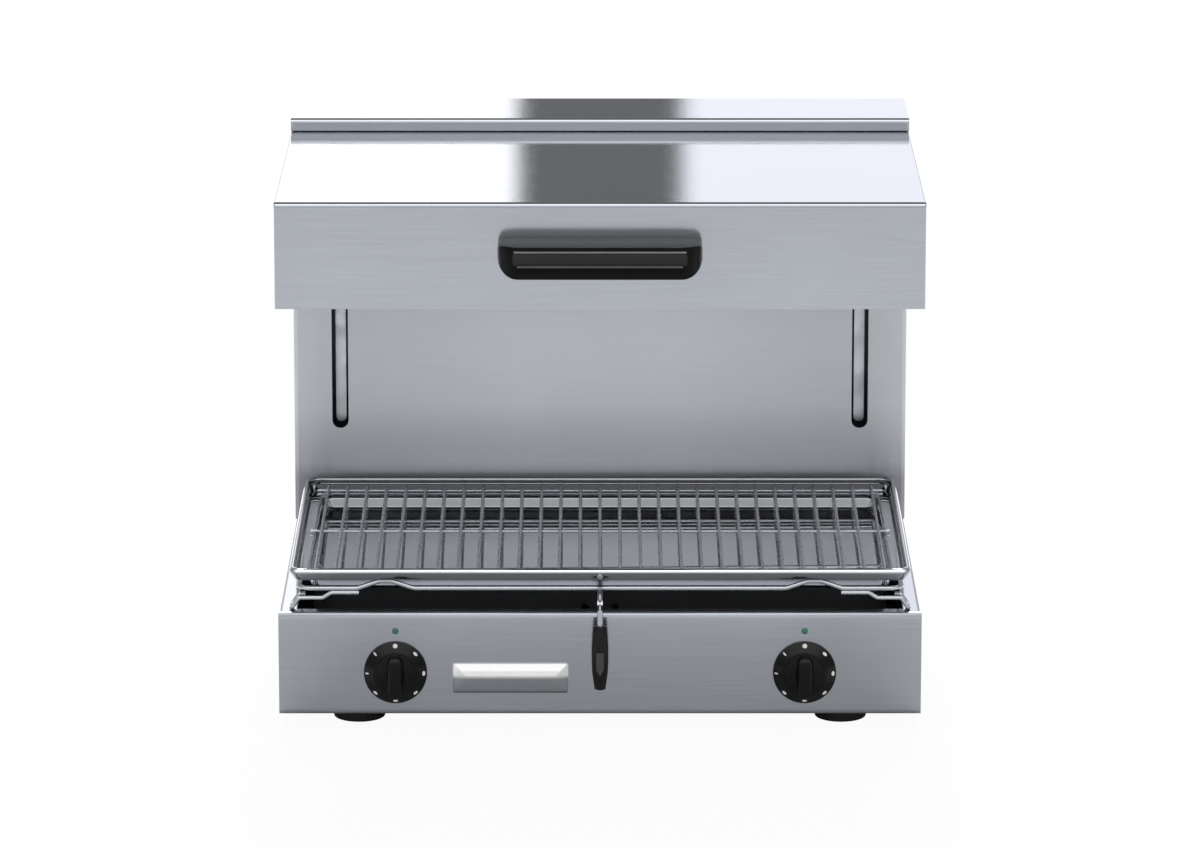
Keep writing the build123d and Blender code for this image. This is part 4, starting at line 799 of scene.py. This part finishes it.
for (inNow, downNow), (inNext, downNext) in zip(section, section[1:]):
    sideNow, sideNext = (far + (tray["sideShare"] - 1) * max(0, far - ledgeIn) for far in (inNow, inNext))
    bpy.ops.mesh.extrude_region_move(TRANSFORM_OT_translate={"value": (0, 0, downNow - downNext)})
    bpy.ops.transform.resize(value=((rimWide - 2 * sideNext) / (rimWide - 2 * sideNow),
                                    (rimDeep - 2 * inNext) / (rimDeep - 2 * inNow), 1), center_override=middle)
bpy.ops.mesh.edge_face_add()
bpy.ops.mesh.select_all(action="SELECT")
bpy.ops.mesh.normals_make_consistent(inside=False)
bpy.ops.object.mode_set(mode="OBJECT")
floorFace = min(pan.data.polygons, key=lambda face: face.center.z)
if floorFace.normal.z < 0:
    bpy.ops.object.mode_set(mode="EDIT")
    bpy.ops.mesh.flip_normals()
    bpy.ops.object.mode_set(mode="OBJECT")
for vertex in pan.data.vertices:
    overLedge = min(1, max(0, 1 - (high.z - vertex.co.z) / tray["ledgeDrop"]))
    vertex.co.z += tray["backRise"] * overLedge * (vertex.co.y - low.y) / rimDeep
wall = pan.modifiers.new("sheet", "SOLIDIFY")
wall.thickness = tray["sheet"]
wall.offset = -1
wall.use_even_offset = True
bpy.ops.object.modifier_apply(modifier=wall.name)
# painted shade: the rim, the lip, its inside and the walls get darker copies of the polished pan steel
skins = {
    "pan": finishes["polished_steel"],
    "rim": brightMetal("rimPaintedShade", "#cbcdd2", 0.1, 0.02),
    "lip": brightMetal("lipPaintedShade", "#84868b", 0.12, 0.03),
    "wall": brightMetal("innerWallPaintedShade", "#a6a8ac", 0.08, 0.03),
    "inner": brightMetal("lipInsidePaintedShadow", "#505155", 0.14, 0.03),
    "outer": brightMetal("outerWallPaintedShade", "#c8cace", 0.08, 0.03),
}
for finish in skins.values():
    pan.data.materials.append(finish)
shadeIn, shadeDown = ledgeIn + tray["shadePast"][0], tray["ledgeDrop"] + tray["shadePast"][1]
rollFoot = tray["rimColourRoll"] * rollRadius
wallTop = tray["ledgeDrop"] + tray["wallStart"] * tray["shoulder"]
for face in pan.data.polygons:  # painted shade: the roll keeps the rim's darker copy of the polished steel, the lip below it and the lip's inside get darker ones still, and the walls their own darker copies
    edgeIn = min(face.center.x - low.x, high.x - face.center.x, face.center.y - low.y, high.y - face.center.y)
    down = high.z - face.center.z
    if down < tray["ledgeDrop"]:  # as it was before the rim rose
        risen = tray["backRise"] * (face.center.y - low.y) / rimDeep
        down = (down + risen) / (1 + risen / tray["ledgeDrop"])
    onRidge = edgeIn > tray["bead"] and abs(down - ridgeDown) < ridgeHalf
    skin = "pan"
    if edgeIn < shadeIn and down < shadeDown:
        if edgeIn > tray["bead"] and down > rollFoot and face.normal.z > -0.3 and not onRidge:
            skin = "inner"
        else:
            skin = "rim" if down < tray["bead"] or onRidge else "lip"
    elif down > wallTop and abs(face.normal.z) < 0.8:
        skin = "outer" if face.normal.dot(face.center - middle) > 0 else "wall"
    face.material_index = list(skins).index(skin)
finishPiece(pan, "tray_pressing", "tray", finishes["polished_steel"], ["drip_tray"], 40)
print("tray:", len(pan.data.polygons), "faces")

# Stop stud on the tray's front lip: a round head on a short shank that reaches back to the lip
stud = {
    "shank": 0.0016,
    "reach": 0.0050,
    "dome": 0.0009,
    "domeSteps": ((0.45, 0.86), (0.35, 0.7), (0.2, 0.5)),  # shares of the dome's height, then scaled by
}
low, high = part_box("tray_rivet")
middle = (low + high) / 2
headRadius = (high.x - low.x) / 2
peg = addDisc(headRadius, high.y - low.y - stud["dome"], (middle.x, middle.y + stud["dome"] / 2, middle.z), "Y", 32)
pick(peg, "FACE", lambda centre, normal: normal.y < -0.9)
for share, shrink in stud["domeSteps"]:
    bpy.ops.mesh.extrude_region_move(TRANSFORM_OT_translate={"value": (0, -share * stud["dome"], 0)})
    bpy.ops.transform.resize(value=(shrink, 1, shrink), center_override=middle)
pick(peg, "FACE", lambda centre, normal: normal.y > 0.9)
bpy.ops.mesh.inset(thickness=headRadius - stud["shank"], depth=0)
bpy.ops.mesh.extrude_region_move(TRANSFORM_OT_translate={"value": (0, stud["reach"], 0)})
studFinish = brightMetal("studSteel", "#8f9196", 0.3, 0.01)
finishPiece(peg, "tray_stud", "tray", studFinish, ["tray_rivet"], 40)

# Web that closes the grip's clevis above the pin, tapering towards the loop
web = {
    "half": 0.0015,
    "taper": 0.62,
    "eye": 0.0036,  # room above the pin
    "edge": 0.0005,
    "inset": (0.0006, 0.001, 0.001),  # behind the lug's front, before its back, below its top
}
low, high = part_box("carrier_lug")
pinLow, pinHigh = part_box("grip_pin")
frontInset, backInset, topInset = web["inset"]
filler = addBlock((-web["half"], low.y + frontInset, (pinLow.z + pinHigh.z) / 2 + web["eye"]),
                  (web["half"], high.y - backInset, high.z - topInset))
pick(filler, "VERT", lambda co: co.z > high.z - topInset - close)
bpy.ops.transform.resize(value=(web["taper"], 1, 1), center_override=(0, 0, 0))
softenEdges(filler, web["edge"], 2, 40)
finishPiece(filler, "lug_web", "carrier", finishes["bright_wire"])
print("stud and web done")
